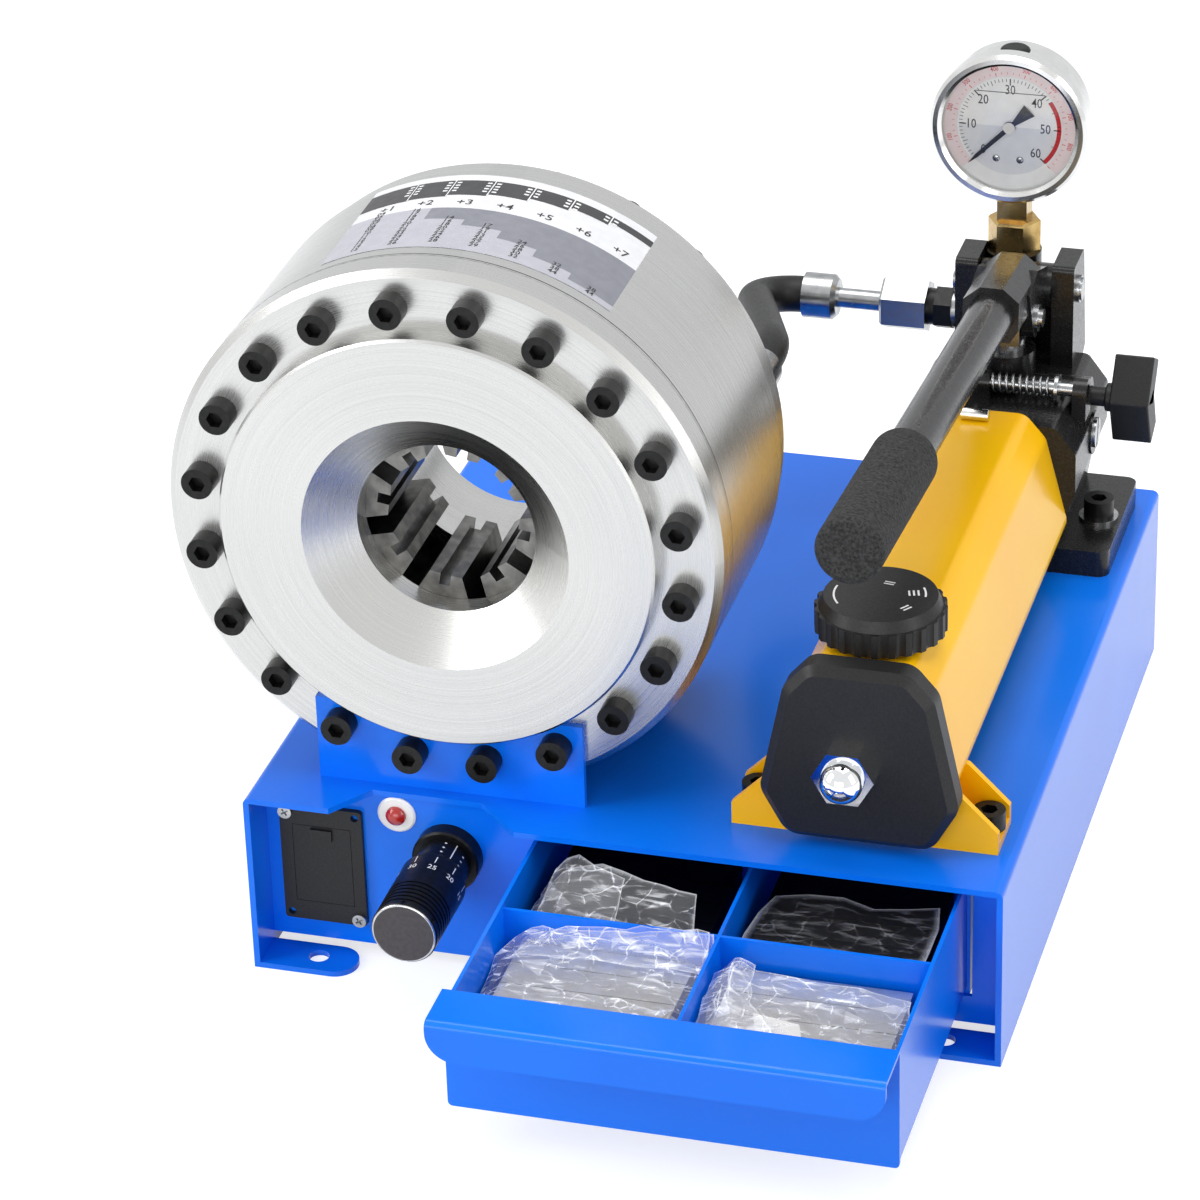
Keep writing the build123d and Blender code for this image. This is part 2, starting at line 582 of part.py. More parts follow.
# Hose route: leaves its pump socket to the left, turns forward, ends in the head socket
with BuildPart() as hydraulic_hose:
    with BuildLine() as route:
        FilletPolyline((SOCKET_X1 - HOSE_IN, LINE_Y, LINE_Z), (BEND_X, LINE_Y, LINE_Z),
                       (PORT_X, FERRULE_END + 22.0, PORT_Z), (PORT_X, NUT_END + HOSE_IN, PORT_Z),
                       radius=(18.0, 45.0))
    with BuildSketch(Plane(origin=(SOCKET_X1 - HOSE_IN, LINE_Y, LINE_Z), z_dir=(-1, 0, 0))):
        Circle(HOSE_R)
    sweep()
hydraulic_hose.part.label = "hydraulic_hose"
export_step(hydraulic_hose.part, "parts/hydraulic_hose.step")

with BuildPart() as pump_hose_nut:
    with BuildSketch(line_axis.offset(PUMP_SIDE - NUT_X1)):
        RegularPolygon(10.5, 6, major_radius=False, rotation=30)
        Circle(8.2, mode=Mode.SUBTRACT)
    extrude(amount=14.5)
    with BuildSketch(line_axis.offset(PUMP_SIDE - NUT_X1 + 14.5)):
        RegularPolygon(10.5, 6, major_radius=False, rotation=30)
        Circle(4.5, mode=Mode.SUBTRACT)
    extrude(amount=NUT_X1 - NUT_X0 - 14.5)
    chamfer(pump_hose_nut.faces().sort_by(Axis.X)[0].outer_wire().edges(), 1.2)
pump_hose_nut.part.label = "pump_hose_nut"
export_step(pump_hose_nut.part, "parts/pump_hose_nut.step")

with BuildPart() as pump_port_adaptor:
    with BuildSketch(line_axis.offset(WASHER_T)):
        RegularPolygon(8.5, 6, major_radius=False, rotation=30)
    extrude(amount=7.5)
    with BuildSketch(line_axis.offset(WASHER_T + 7.5)):
        Circle(8.0)
    extrude(amount=16.0)
    with BuildSketch(line_axis.offset(WASHER_T)):
        Circle(3.0)
    extrude(amount=24, mode=Mode.SUBTRACT)
pump_port_adaptor.part.label = "pump_port_adaptor"
export_step(pump_port_adaptor.part, "parts/pump_port_adaptor.step")

with BuildPart() as seal_washer:
    with BuildSketch(line_axis):
        Circle(8.2)
        Circle(4.0, mode=Mode.SUBTRACT)
    extrude(amount=WASHER_T)
seal_washer.part.label = "seal_washer"
export_step(seal_washer.part, "parts/seal_washer.step")

# Oil tank: extruded rounded shell shape, solid as modelled
TANK_TOP = BASE_H + 77.0
TANK_HALF = [(17.5, TANK_TOP), (26.5, TANK_TOP - 10.5), (36.5, BASE_H + 27.5), (27.0, BASE_H + 7.5)]
CAP_HALF = [(20.0, TANK_TOP + 4.5), (30.0, TANK_TOP - 7.0), (39.8, BASE_H + 23.5), (29.0, BASE_H + 4.0)]
FILLER_Y = TANK_Y0 + 30.0
COLLAR_R = 19.0
COLLAR_TOP = TANK_TOP + 1.9


def mirrored(half):
    """Closed outline about the pump centre plane from its right-hand half."""
    right = [(PUMP_MID + x, z) for x, z in half]
    left = [(PUMP_MID - x, z) for x, z in reversed(half)]
    return right + left


with BuildPart() as oil_tank:
    with BuildSketch(Plane.XZ.offset(-TANK_Y0)) as tank_outline:
        with BuildLine():
            Polyline(*mirrored(TANK_HALF), close=True)
        make_face()
        fillet(tank_outline.vertices(), 7.0)
    extrude(amount=TANK_Y0 - TANK_Y1)
    with BuildSketch(Plane.XY.offset(TANK_TOP - 0.5)):
        with Locations((PUMP_MID, FILLER_Y)):
            Circle(COLLAR_R)
    extrude(amount=COLLAR_TOP - TANK_TOP + 0.5)
oil_tank.part.label = "oil_tank"
export_step(oil_tank.part, "parts/oil_tank.step")

with BuildPart() as tank_end_cap:
    with BuildSketch(Plane.XZ.offset(-TANK_Y0)) as cap_outline:
        with BuildLine():
            Polyline(*mirrored(CAP_HALF), close=True)
        make_face()
        fillet(cap_outline.vertices(), 9.0)
    extrude(amount=CAP_T)
    chamfer(tank_end_cap.faces().sort_by(Axis.Y)[0].edges(), 3.5)
tank_end_cap.part.label = "tank_end_cap"
export_step(tank_end_cap.part, "parts/tank_end_cap.step")

# Acorn nut on the tie rod that holds the end cap
ACORN_X = PX - 4.5
ACORN_Z = BASE_H + 37.5
CAP_Y = TANK_Y0 - CAP_T
with BuildPart() as acorn_nut:
    with BuildSketch(Plane.XZ.offset(-CAP_Y)):
        with Locations((ACORN_X, ACORN_Z)):
            RegularPolygon(10.8, 6, major_radius=False)
    extrude(amount=7.5)
    with BuildSketch(Plane(origin=(ACORN_X, 0, ACORN_Z), x_dir=(1, 0, 0), z_dir=(0, 0, 1))):
        with BuildLine():
            dome(8.8, 9.4, CAP_Y - 7.5)
            Polyline((0, CAP_Y - 16.9), (0, CAP_Y - 7.0), (8.8, CAP_Y - 7.0), (8.8, CAP_Y - 7.5))
        make_face()
    revolve(axis=Axis((ACORN_X, 0, ACORN_Z), (0, 1, 0)))
acorn_nut.part.label = "acorn_nut"
export_step(acorn_nut.part, "parts/acorn_nut.step")

# Front foot: floor plate between two cradle plates cut to the tank outline
FOOT_T = 3.0
FOOT_FLOOR = 4.0
FOOT_PLATES = (TANK_Y0, TANK_Y0 + 22.0)
FOOT_HALF = [(20.0, BASE_H + 31.5), (37.0, BASE_H + 26.0), (FOOT_HALF_W, BASE_H + 9.5),
             (FOOT_HALF_W, BASE_H)]
with BuildPart() as pump_front_foot:
    for y in FOOT_PLATES:
        with BuildSketch(Plane.XZ.offset(-y)):
            with BuildLine():
                Polyline(*mirrored(FOOT_HALF), close=True)
            make_face()
        extrude(amount=-FOOT_T)
    with BuildSketch(Plane.XY.offset(BASE_H)):
        with Locations((PUMP_MID, (TANK_Y0 + FOOT_PLATES[1]) / 2 + FOOT_T / 2)):
            Rectangle(FOOT_W, FOOT_PLATES[1] - TANK_Y0 + FOOT_T)
        with Locations(*FRONT_SPOTS):
            Circle(4.3, mode=Mode.SUBTRACT)
    extrude(amount=FOOT_FLOOR)
    with BuildSketch(Plane.XZ.offset(-TANK_Y0 + 1)) as cradle:
        with BuildLine():
            Polyline(*mirrored(TANK_HALF), close=True)
        make_face()
        fillet(cradle.vertices(), 7.0)
    extrude(amount=-40, mode=Mode.SUBTRACT)
pump_front_foot.part.label = "pump_front_foot"
export_step(pump_front_foot.part, "parts/pump_front_foot.step")

# Four socket screws with washers that hold the pump feet to the deck
with BuildPart() as foot_bolts:
    for seat, spots, washer in ((BASE_H + FOOT_FLOOR, FRONT_SPOTS, 0.0),
                                (BASE_H + REAR_FOOT_T, REAR_SPOTS, 1.6)):
        with BuildSketch(Plane.XY.offset(seat)):
            with Locations(*spots):
                Circle(8.5 if washer else 6.5)
        extrude(amount=washer if washer else HEAD_H)
        with BuildSketch(Plane.XY.offset(seat + washer)):
            with Locations(*spots):
                Circle(6.5)
        extrude(amount=HEAD_H)
        with BuildSketch(Plane.XY.offset(seat)):
            with Locations(*spots):
                Circle(4.0)
        extrude(amount=DECK_UNDER - 5.8 - seat)
        with BuildSketch(Plane.XY.offset(seat + washer + HEAD_H)):
            with Locations(*spots):
                RegularPolygon(3.0, 6, major_radius=False)
        extrude(amount=-4.0, mode=Mode.SUBTRACT)
        with BuildSketch(Plane.XY.offset(DECK_UNDER)):
            with Locations(*spots):
                RegularPolygon(6.5, 6, major_radius=False)
        extrude(amount=-5.0)
foot_bolts.part.label = "foot_bolts"
export_step(foot_bolts.part, "parts/foot_bolts.step")

# Pump head: foot, flared body, two ears, ram gland, valve boss and gauge boss
FOOT_TOP = BASE_H + REAR_FOOT_T
WAIST_Z = FOOT_TOP + 12.5
FLARE_Z = BODY_DECK - 30.0
SHOULDER_Z = BODY_DECK - 12.0
VALVE_Y = RAM_Y - 1.5
VALVE_Z = BODY_DECK - 4.0
PLUG_Y = RAM_Y - 3.5
PLUG_Z = BODY_DECK - 20.5
ROD_Y = RAM_Y - 17.5
ROD_Z = BODY_DECK + 6.0
GLAND_TOP = BODY_DECK + 15.0
GLAND_R = 12.4
BORE_END = BODY_DECK - 33.0
BOSS_TOP = EAR_TOP - 3.0
PIN_R = 5.0
with BuildPart() as pump_head:
    with BuildSketch(Plane.XY.offset(BASE_H)) as foot_plan:
        with Locations((PUMP_MID, (REAR_FOOT_Y0 + REAR_FOOT_Y1) / 2)):
            RectangleRounded(FOOT_W, REAR_FOOT_Y1 - REAR_FOOT_Y0, 5)
        with Locations(*REAR_SPOTS):
            Circle(4.3, mode=Mode.SUBTRACT)
    extrude(amount=REAR_FOOT_T)
    with BuildSketch(Plane.XZ.offset(-TANK_Y1)) as body_outline:
        with BuildLine():
            Polyline((PX - 30, FOOT_TOP - 4), (PX - 33, WAIST_Z), (PX - 39, FLARE_Z), (PX - 39, SHOULDER_Z),
                     (PX - 30, BODY_DECK), (PX + 30, BODY_DECK), (PX + 39, SHOULDER_Z), (PX + 39, FLARE_Z),
                     (PX + 33, WAIST_Z), (PX + 30, FOOT_TOP - 4), close=True)
        make_face()
        fillet(body_outline.vertices().group_by(Axis.Y)[1:], 4.0)
    extrude(amount=-(REAR_FOOT_Y1 - 2 - TANK_Y1))
    with BuildSketch(Plane.YZ.offset(PX - EAR_OUT)) as ear_side:
        with BuildLine():
            Polyline((EAR_Y0, BODY_DECK - 2), (EAR_Y0, EAR_TOP), (EAR_Y1, EAR_TOP),
                     (EAR_Y1 + 7, BODY_DECK - 2),
                     (EAR_Y1 - 7, BODY_DECK - 9), (EAR_Y0 - 12, BODY_DECK - 9), close=True)
        make_face()
        fillet(ear_side.vertices().group_by(Axis.Y)[-1], 2.5)
    extrude(amount=2 * EAR_OUT)
    with BuildSketch(Plane.XY.offset(BODY_DECK)):
        with Locations((PX, (EAR_Y0 + EAR_Y1) / 2)):
            Rectangle(2 * EAR_IN, 60)
    extrude(amount=EAR_TOP - BODY_DECK + 13, mode=Mode.SUBTRACT)
    with BuildSketch(Plane.XY.offset(BODY_DECK - 10)):
        with Locations((PX, RAM_Y)):
            Circle(GLAND_R)
    extrude(amount=GLAND_TOP - BODY_DECK + 10)
    with BuildSketch(Plane.XY.offset(BODY_DECK - 10)):
        with Locations((GAUGE_X, GAUGE_Y)):
            Circle(12.0)
    extrude(amount=BOSS_TOP - BODY_DECK + 10)
    with BuildSketch(Plane.XY.offset(BODY_DECK - 10)):
        with Locations((PX, EAR_Y1 + 1)):
            Rectangle(2 * EAR_IN + 2, 8)
    extrude(amount=EAR_TOP - 20 - BODY_DECK + 10)
    with BuildSketch(Plane.YZ.offset(PX)):
        with Locations((VALVE_Y, VALVE_Z)):
            Circle(8.0)
    extrude(amount=37.0)
    with BuildSketch(Plane.YZ.offset(PX)):
        with Locations((PLUG_Y, PLUG_Z)):
            Circle(9.5)
    extrude(amount=39.8)
    with BuildSketch(Plane.YZ.offset(PX + 33)):
        with Locations((ROD_Y, ROD_Z)):
            Circle(5.5)
        with Locations((ROD_Y, ROD_Z - 6)):
            Rectangle(11, 12)
    extrude(amount=6.0)
    with BuildSketch(Plane.YZ.offset(PX - 8)):
        with Locations((ROD_Y, ROD_Z)):
            Circle(5.0)
        with Locations((ROD_Y, ROD_Z - 6)):
            Rectangle(10, 12)
    extrude(amount=5.0)
    with BuildSketch(Plane.YZ.offset(PX - EAR_IN)):
        with Locations((PIVOT_Y, PIVOT_Z)):
            Circle(10.8)
    extrude(amount=2 * EAR_IN, mode=Mode.SUBTRACT)
    with BuildSketch(Plane.YZ.offset(PX - EAR_OUT)):
        with Locations((PIVOT_Y, PIVOT_Z)):
            Circle(PIN_R + 0.05)
    extrude(amount=2 * EAR_OUT, mode=Mode.SUBTRACT)
    with BuildSketch(Plane.XY.offset(GLAND_TOP)):
        with Locations((PX, RAM_Y)):
            Circle(PLUNGER_R + 0.06)
    extrude(amount=BORE_END - GLAND_TOP, mode=Mode.SUBTRACT)
    with BuildSketch(Plane.YZ.offset(PX + 60)):
        with Locations((VALVE_Y, VALVE_Z)):
            Circle(4.3)
    extrude(amount=-44, mode=Mode.SUBTRACT)
    with BuildSketch(Plane.YZ.offset(PX + 60)):
        with Locations((PLUG_Y, PLUG_Z)):
            Circle(6.6)
    extrude(amount=-26, mode=Mode.SUBTRACT)
    with BuildSketch(Plane.YZ.offset(PX - 20)):
        with Locations((ROD_Y, ROD_Z)):
            Circle(3.05)
    extrude(amount=70, mode=Mode.SUBTRACT)
    with BuildSketch(Plane.YZ.offset(PX - EAR_OUT)):
        with Locations((LINE_Y, LINE_Z)):
            Circle(3.0)
    extrude(amount=9, mode=Mode.SUBTRACT)
pump_head.part.label = "pump_head"
export_step(pump_head.part, "parts/pump_head.step")

# Fluted filler cap on the tank
FILLER_Z = COLLAR_TOP + 0.2
FILLER_R = 26.0
FILLER_H = 10.0
with BuildPart() as filler_cap:
    with BuildSketch(Plane.XY.offset(FILLER_Z)):
        with Locations((PUMP_MID, FILLER_Y)):
            Circle(FILLER_R)
    extrude(amount=FILLER_H)
    with BuildSketch(Plane.XY.offset(FILLER_Z)):
        with Locations((PUMP_MID, FILLER_Y)):
            with PolarLocations(FILLER_R + 1.4, 24):
                Circle(2.6)
    extrude(amount=FILLER_H, mode=Mode.SUBTRACT)
    with BuildSketch(Plane.XY.offset(FILLER_Z + FILLER_H)):
        with Locations((PUMP_MID, FILLER_Y)):
            Circle(FILLER_R - 1.6)
    extrude(amount=4.4, taper=25)
filler_cap.part.label = "filler_cap"
export_step(filler_cap.part, "parts/filler_cap.step")

# Lever block: socket for the tube, two cheeks, pivot barrel and room for the ram eye
BLOCK_FRONT = 59.6
BLOCK_REAR = 13.4
BLOCK_TOP = 12.3
BLOCK_LOW = -11.5
CHEEK_IN = 7.6
CHEEK_OUT = 13.0
TILT = math.radians(LEVER_SLOPE)
tube_end_y, tube_end_z = lever_point(42.0, 0)
lever_dir = (0, -math.cos(TILT), math.sin(TILT))
with BuildPart() as lever_block:
    with BuildSketch(Plane(origin=(PX, *lever_point(BLOCK_REAR, 0)), x_dir=(1, 0, 0), z_dir=lever_dir)):
        with BuildLine():
            Polyline((-5, BLOCK_TOP), (5, BLOCK_TOP), (12, 6.5), (12, -6), (8.5, BLOCK_LOW),
                     (-8.5, BLOCK_LOW), (-12, -6), (-12, 6.5), close=True)
        make_face()
    extrude(amount=BLOCK_FRONT - BLOCK_REAR)
    with BuildSketch(Plane.YZ.offset(PX - 15.9)):
        with Locations((PIVOT_Y, PIVOT_Z)):
            Circle(10.0)
    extrude(amount=31.8)
    with BuildSketch(Plane.YZ.offset(PX - CHEEK_OUT)):
        with Locations((LINK_Y, LINK_Z)):
            Circle(8.5)
        with BuildLine():
            Polyline((LINK_Y + 1, LINK_Z - 8.4), (PIVOT_Y + 1, PIVOT_Z - 9.9), (PIVOT_Y - 1, PIVOT_Z + 9.9),
                     lever_point(24, 9), lever_point(42, 4), (LINK_Y - 8.3, LINK_Z - 1), close=True)
        make_face()
    extrude(amount=2 * CHEEK_OUT)
    with BuildSketch(Plane.YZ.offset(PX - CHEEK_IN)):
        with Locations((LINK_Y, LINK_Z)):
            Circle(14.0)
        with BuildLine():
            Polyline((LINK_Y - 14, LINK_Z), (LINK_Y - 14, LINK_Z - 25),
                     (LINK_Y + 14, LINK_Z - 25), (LINK_Y + 14, LINK_Z), close=True)
        make_face()
    extrude(amount=2 * CHEEK_IN, mode=Mode.SUBTRACT)
    with BuildSketch(Plane(origin=(PX, tube_end_y, tube_end_z), x_dir=(1, 0, 0), z_dir=lever_dir)):
        Circle(TUBE_R)
    extrude(amount=40, mode=Mode.SUBTRACT)
    with BuildSketch(Plane.YZ.offset(PX - 20)):
        with Locations((PIVOT_Y, PIVOT_Z)):
            Circle(PIN_R + 0.05)
    extrude(amount=40, mode=Mode.SUBTRACT)
    with BuildSketch(Plane.YZ.offset(PX - 20)):
        with Locations((LINK_Y, LINK_Z)):
            Circle(4.0)
    extrude(amount=40, mode=Mode.SUBTRACT)
lever_block.part.label = "lever_block"
export_step(lever_block.part, "parts/lever_block.step")

# Lever tube and its foam grip
LEVER_TIP = 321.0
GRIP_LEN = 98.0
with BuildPart() as lever_tube:
    with BuildSketch(Plane(origin=(PX, tube_end_y, tube_end_z), x_dir=(1, 0, 0), z_dir=lever_dir)):
        Circle(TUBE_R)
        Circle(TUBE_R - 2.0, mode=Mode.SUBTRACT)
    extrude(amount=LEVER_TIP - 4 - 42.0)
lever_tube.part.label = "lever_tube"
export_step(lever_tube.part, "parts/lever_tube.step")

grip_y, grip_z = lever_point(LEVER_TIP - GRIP_LEN, 0)
with BuildPart() as lever_grip:
    with BuildSketch(Plane(origin=(PX, grip_y, grip_z), x_dir=(1, 0, 0), z_dir=lever_dir)):
        Circle(GRIP_R)
    extrude(amount=GRIP_LEN)
    fillet(lever_grip.faces().sort_by(Axis.Y)[0].edges(), 3.0)
    fillet(lever_grip.faces().sort_by(Axis.Y)[-1].edges(), 4.0)
    with BuildSketch(Plane(origin=(PX, grip_y, grip_z), x_dir=(1, 0, 0), z_dir=lever_dir)):
        Circle(TUBE_R)
    extrude(amount=GRIP_LEN - 4, mode=Mode.SUBTRACT)
lever_grip.part.label = "lever_grip"
export_step(lever_grip.part, "parts/lever_grip.step")

# Pivot pin with washers outside the ears, and the link pin of the plunger
with BuildPart() as pivot_pin:
    with BuildSketch(Plane.YZ.offset(PX - EAR_OUT - 1.9)):
        with Locations((PIVOT_Y, PIVOT_Z)):
            Circle(PIN_R)
    extrude(amount=2 * EAR_OUT + 4.4)
    for x in (PX - EAR_OUT - 1.6, PX + EAR_OUT):
        with BuildSketch(Plane.YZ.offset(x)):
            with Locations((PIVOT_Y, PIVOT_Z)):
                Circle(6.0)
        extrude(amount=1.6)
pivot_pin.part.label = "pivot_pin"
export_step(pivot_pin.part, "parts/pivot_pin.step")

with BuildPart() as link_pin:
    with BuildSketch(Plane.YZ.offset(PX - 16)):
        with Locations((LINK_Y, LINK_Z)):
            Circle(4.0)
    extrude(amount=32)
    for x in (PX - CHEEK_OUT - 1.2, PX + CHEEK_OUT):
        with BuildSketch(Plane.YZ.offset(x)):
            with Locations((LINK_Y, LINK_Z)):
                Circle(6.0)
        extrude(amount=1.2)
link_pin.part.label = "link_pin"
export_step(link_pin.part, "parts/link_pin.step")

# Plunger with a slotted eye round the link pin
EYE_HALF = 7.2
with BuildPart() as plunger:
    with BuildSketch(Plane.XY.offset(BORE_END + 3)):
        with Locations((PX, RAM_Y)):
            Circle(PLUNGER_R)
    extrude(amount=LINK_Z - 10 - BORE_END - 3)
    with BuildSketch(Plane.YZ.offset(PX - EYE_HALF)) as eye_side:
        with Locations((RAM_Y, LINK_Z - 1)):
            Rectangle(19, 19)
        fillet(eye_side.vertices().group_by(Axis.Y)[-1], 5.0)
        with Locations((RAM_Y - 0.1, LINK_Z)):
            SlotOverall(12.0, 8.5, mode=Mode.SUBTRACT)
    extrude(amount=2 * EYE_HALF)
plunger.part.label = "plunger"
export_step(plunger.part, "parts/plunger.step")

# Release valve: stem with a two-winged knob
KNOB_X0 = PX + 49.5
KNOB_X1 = KNOB_X0 + 21.0
WING_T = 11.0
with BuildPart() as release_knob:
    with BuildSketch(Plane.YZ.offset(PX + 16.5)):
        with Locations((VALVE_Y, VALVE_Z)):
            Circle(4.25)
    extrude(amount=KNOB_X0 - PX - 14)
    with BuildSketch(Plane.YZ.offset(KNOB_X0)):
        with Locations((VALVE_Y, VALVE_Z)):
            Circle(8.0)
    extrude(amount=KNOB_X1 - KNOB_X0)
    with BuildSketch(Plane.YZ.offset(KNOB_X0 + 1)) as wings:
        with BuildLine():
            Polyline((VALVE_Y + 2, VALVE_Z - 5), (VALVE_Y + 21, VALVE_Z + 17), (VALVE_Y + 8, VALVE_Z + 24),
                     (VALVE_Y - 8, VALVE_Z + 3), close=True)
        make_face()
        with BuildLine():
            Polyline((VALVE_Y + 8, VALVE_Z - 3), (VALVE_Y + 1, VALVE_Z - 24), (VALVE_Y - 13, VALVE_Z - 19),
                     (VALVE_Y - 6, VALVE_Z + 4), close=True)
        make_face()
        fillet(wings.vertices(), 0.8)
    extrude(amount=KNOB_X1 - KNOB_X0)
release_knob.part.label = "release_knob"
export_step(release_knob.part, "parts/release_knob.step")

# Slotted relief plug in the side of the pump head
with BuildPart() as relief_plug:
    with BuildSketch(Plane.YZ.offset(PX + 34.2)):
        with Locations((PLUG_Y, PLUG_Z)):
            Circle(6.55)
    extrude(amount=6.8)
    with BuildSketch(Plane.YZ.offset(PX + 41.0)):
        with Locations((PLUG_Y, PLUG_Z)):
            Rectangle(1.8, 14, rotation=-18)
    extrude(amount=-2.0, mode=Mode.SUBTRACT)
relief_plug.part.label = "relief_plug"
export_step(relief_plug.part, "parts/relief_plug.step")

# Sprung rod across the front of the pump head, with its washer
with BuildPart() as lock_rod:
    with BuildSketch(Plane.YZ.offset(PX - 10)):
        with Locations((ROD_Y, ROD_Z)):
            Circle(3.0)
    extrude(amount=46)
    with BuildSketch(Plane.YZ.offset(PX + 25)):
        with Locations((ROD_Y, ROD_Z)):
            Circle(6.0)
    extrude(amount=1.5)
lock_rod.part.label = "lock_rod"
export_step(lock_rod.part, "parts/lock_rod.step")

# Coil spring on the rod between the lug and the washer
SPRING_LEN = 27.6
SPRING_TURNS = 9
WIRE_R = 0.55
with BuildPart() as lock_spring:
    with BuildLine() as coil:
        Helix(pitch=(SPRING_LEN - 1.2) / SPRING_TURNS, height=SPRING_LEN - 1.2, radius=4.0,
              center=(PX - 2.3, ROD_Y, ROD_Z), direction=(1, 0, 0))
    with BuildSketch(Plane(origin=coil.line @ 0, z_dir=coil.line % 0)):
        Circle(WIRE_R)
    sweep(path=coil.line, is_frenet=True)
lock_spring.part.label = "lock_spring"
export_step(lock_spring.part, "parts/lock_spring.step")

# Gauge: brass adaptor with its square stem, case, bezel, dial, needle and glass
CASE_R = 31.5
BEZEL_R = 34.0
DIAL_Y = GAUGE_Y - 13.5
CASE_BACK = GAUGE_Y + 8.5
with BuildPart() as gauge_adaptor:
    with BuildSketch(Plane.XY.offset(BOSS_TOP)):
        with Locations((GAUGE_X, GAUGE_Y)):
            RegularPolygon(10.0, 6, major_radius=False)
    extrude(amount=15.0)
    chamfer(gauge_adaptor.faces().sort_by(Axis.Z)[-1].edges(), 1.0)
    with BuildSketch(Plane.XY.offset(BOSS_TOP + 15)):
        with Locations((GAUGE_X, GAUGE_Y)):
            Rectangle(13, 13)
    extrude(amount=GAUGE_Z - 30 - BOSS_TOP - 15)
gauge_adaptor.part.label = "gauge_adaptor"
export_step(gauge_adaptor.part, "parts/gauge_adaptor.step")

gauge_side = Plane(origin=(GAUGE_X, 0, GAUGE_Z), x_dir=(1, 0, 0), z_dir=(0, 0, 1))
gauge_axis = Axis((GAUGE_X, 0, GAUGE_Z), (0, 1, 0))
with BuildPart() as gauge_case:
    with BuildSketch(gauge_side):
        with BuildLine():
            Polyline((0, DIAL_Y + 0.5), (CASE_R - 1.5, DIAL_Y + 0.5), (CASE_R - 1.5, DIAL_Y - 1),
                     (CASE_R, DIAL_Y - 1), (CASE_R, CASE_BACK - 2), (CASE_R - 2, CASE_BACK),
                     (0, CASE_BACK), close=True)
        make_face()
    revolve(axis=gauge_axis)
    with BuildSketch(Plane.XY.offset(GAUGE_Z - 40)):
        with Locations((GAUGE_X, GAUGE_Y)):
            Rectangle(13.2, 13.2)
    extrude(amount=10.0, mode=Mode.SUBTRACT)
gauge_case.part.label = "gauge_case"
export_step(gauge_case.part, "parts/gauge_case.step")

with BuildPart() as gauge_bezel:
    with BuildSketch(gauge_side):
        with BuildLine():
            Polyline((CASE_R + 0.1, DIAL_Y + 3), (BEZEL_R, DIAL_Y + 3), (BEZEL_R, DIAL_Y - 3),
                     (BEZEL_R - 1.5, DIAL_Y - 4.8), (BEZEL_R - 3.5, DIAL_Y - 4.8),
                     (BEZEL_R - 5.0, DIAL_Y - 3.2), (BEZEL_R - 5.0, DIAL_Y - 1.1),
                     (CASE_R + 0.1, DIAL_Y - 1.1), close=True)
        make_face()
    revolve(axis=gauge_axis)
gauge_bezel.part.label = "gauge_bezel"
export_step(gauge_bezel.part, "parts/gauge_bezel.step")

with BuildPart() as gauge_dial:
    with BuildSketch(Plane.XZ.offset(-DIAL_Y)):
        with Locations((GAUGE_X, GAUGE_Z)):
            Circle(CASE_R - 1.6)
    extrude(amount=-0.5)
gauge_dial.part.label = "gauge_dial"
export_step(gauge_dial.part, "parts/gauge_dial.step")

NEEDLE_ZERO = 225.0
needle_turn = math.radians(NEEDLE_ZERO)
needle_plane = Plane(origin=(GAUGE_X, DIAL_Y - 0.8, GAUGE_Z), z_dir=(0, -1, 0),
                     x_dir=(math.cos(needle_turn), 0, math.sin(needle_turn)))
with BuildPart() as gauge_needle:
    with BuildSketch(needle_plane):
        with BuildLine():
            Polyline((-12, -3.2), (-3, -1.1), (20, -0.8), (25, 0), (20, 0.8), (-3, 1.1),
                     (-12, 3.2), close=True)
        make_face()
        Circle(2.6)
    extrude(amount=0.5)
    with BuildSketch(Plane.XZ.offset(-(DIAL_Y - 0.1))):
        with Locations((GAUGE_X, GAUGE_Z)):
            Circle(1.2)
    extrude(amount=1.6)
gauge_needle.part.label = "gauge_needle"
export_step(gauge_needle.part, "parts/gauge_needle.step")

with BuildPart() as gauge_glass:
    with BuildSketch(Plane.XZ.offset(-(DIAL_Y - 2.2))):
        with Locations((GAUGE_X, GAUGE_Z)):
            Circle(BEZEL_R - 5.05)
    extrude(amount=1.0)
gauge_glass.part.label = "gauge_glass"
export_step(gauge_glass.part, "parts/gauge_glass.step")

# Die scale: fixed collar with a sleeve, and the grooved thimble that turns on it
THIMBLE_Y0 = PANEL_Y - 60.5
THIMBLE_Y1 = PANEL_Y - 18.5
COLLAR_Y = PANEL_Y - 7.0
SLEEVE_Y0 = THIMBLE_Y1 - 2.0
SPINDLE_Y0 = THIMBLE_Y0 + 7.0
SPINDLE_Y1 = PANEL_BACK + 3.5
scale_side = Plane(origin=(SCALE_X, 0, SCALE_Z), x_dir=(1, 0, 0), z_dir=(0, 0, 1))
scale_axis = Axis((SCALE_X, 0, SCALE_Z), (0, 1, 0))
with BuildPart() as scale_sleeve:
    with BuildSketch(scale_side):
        with BuildLine():
            Polyline((0, SPINDLE_Y0), (5.0, SPINDLE_Y0), (5.0, SLEEVE_Y0), (11.0, SLEEVE_Y0),
                     (11.0, COLLAR_Y), (13.2, COLLAR_Y), (14.0, COLLAR_Y + 0.8), (14.0, PANEL_Y), (5.9, PANEL_Y),
                     (5.9, SPINDLE_Y1), (0, SPINDLE_Y1), close=True)
        make_face()
    revolve(axis=scale_axis)
scale_sleeve.part.label = "scale_sleeve"
export_step(scale_sleeve.part, "parts/scale_sleeve.step")

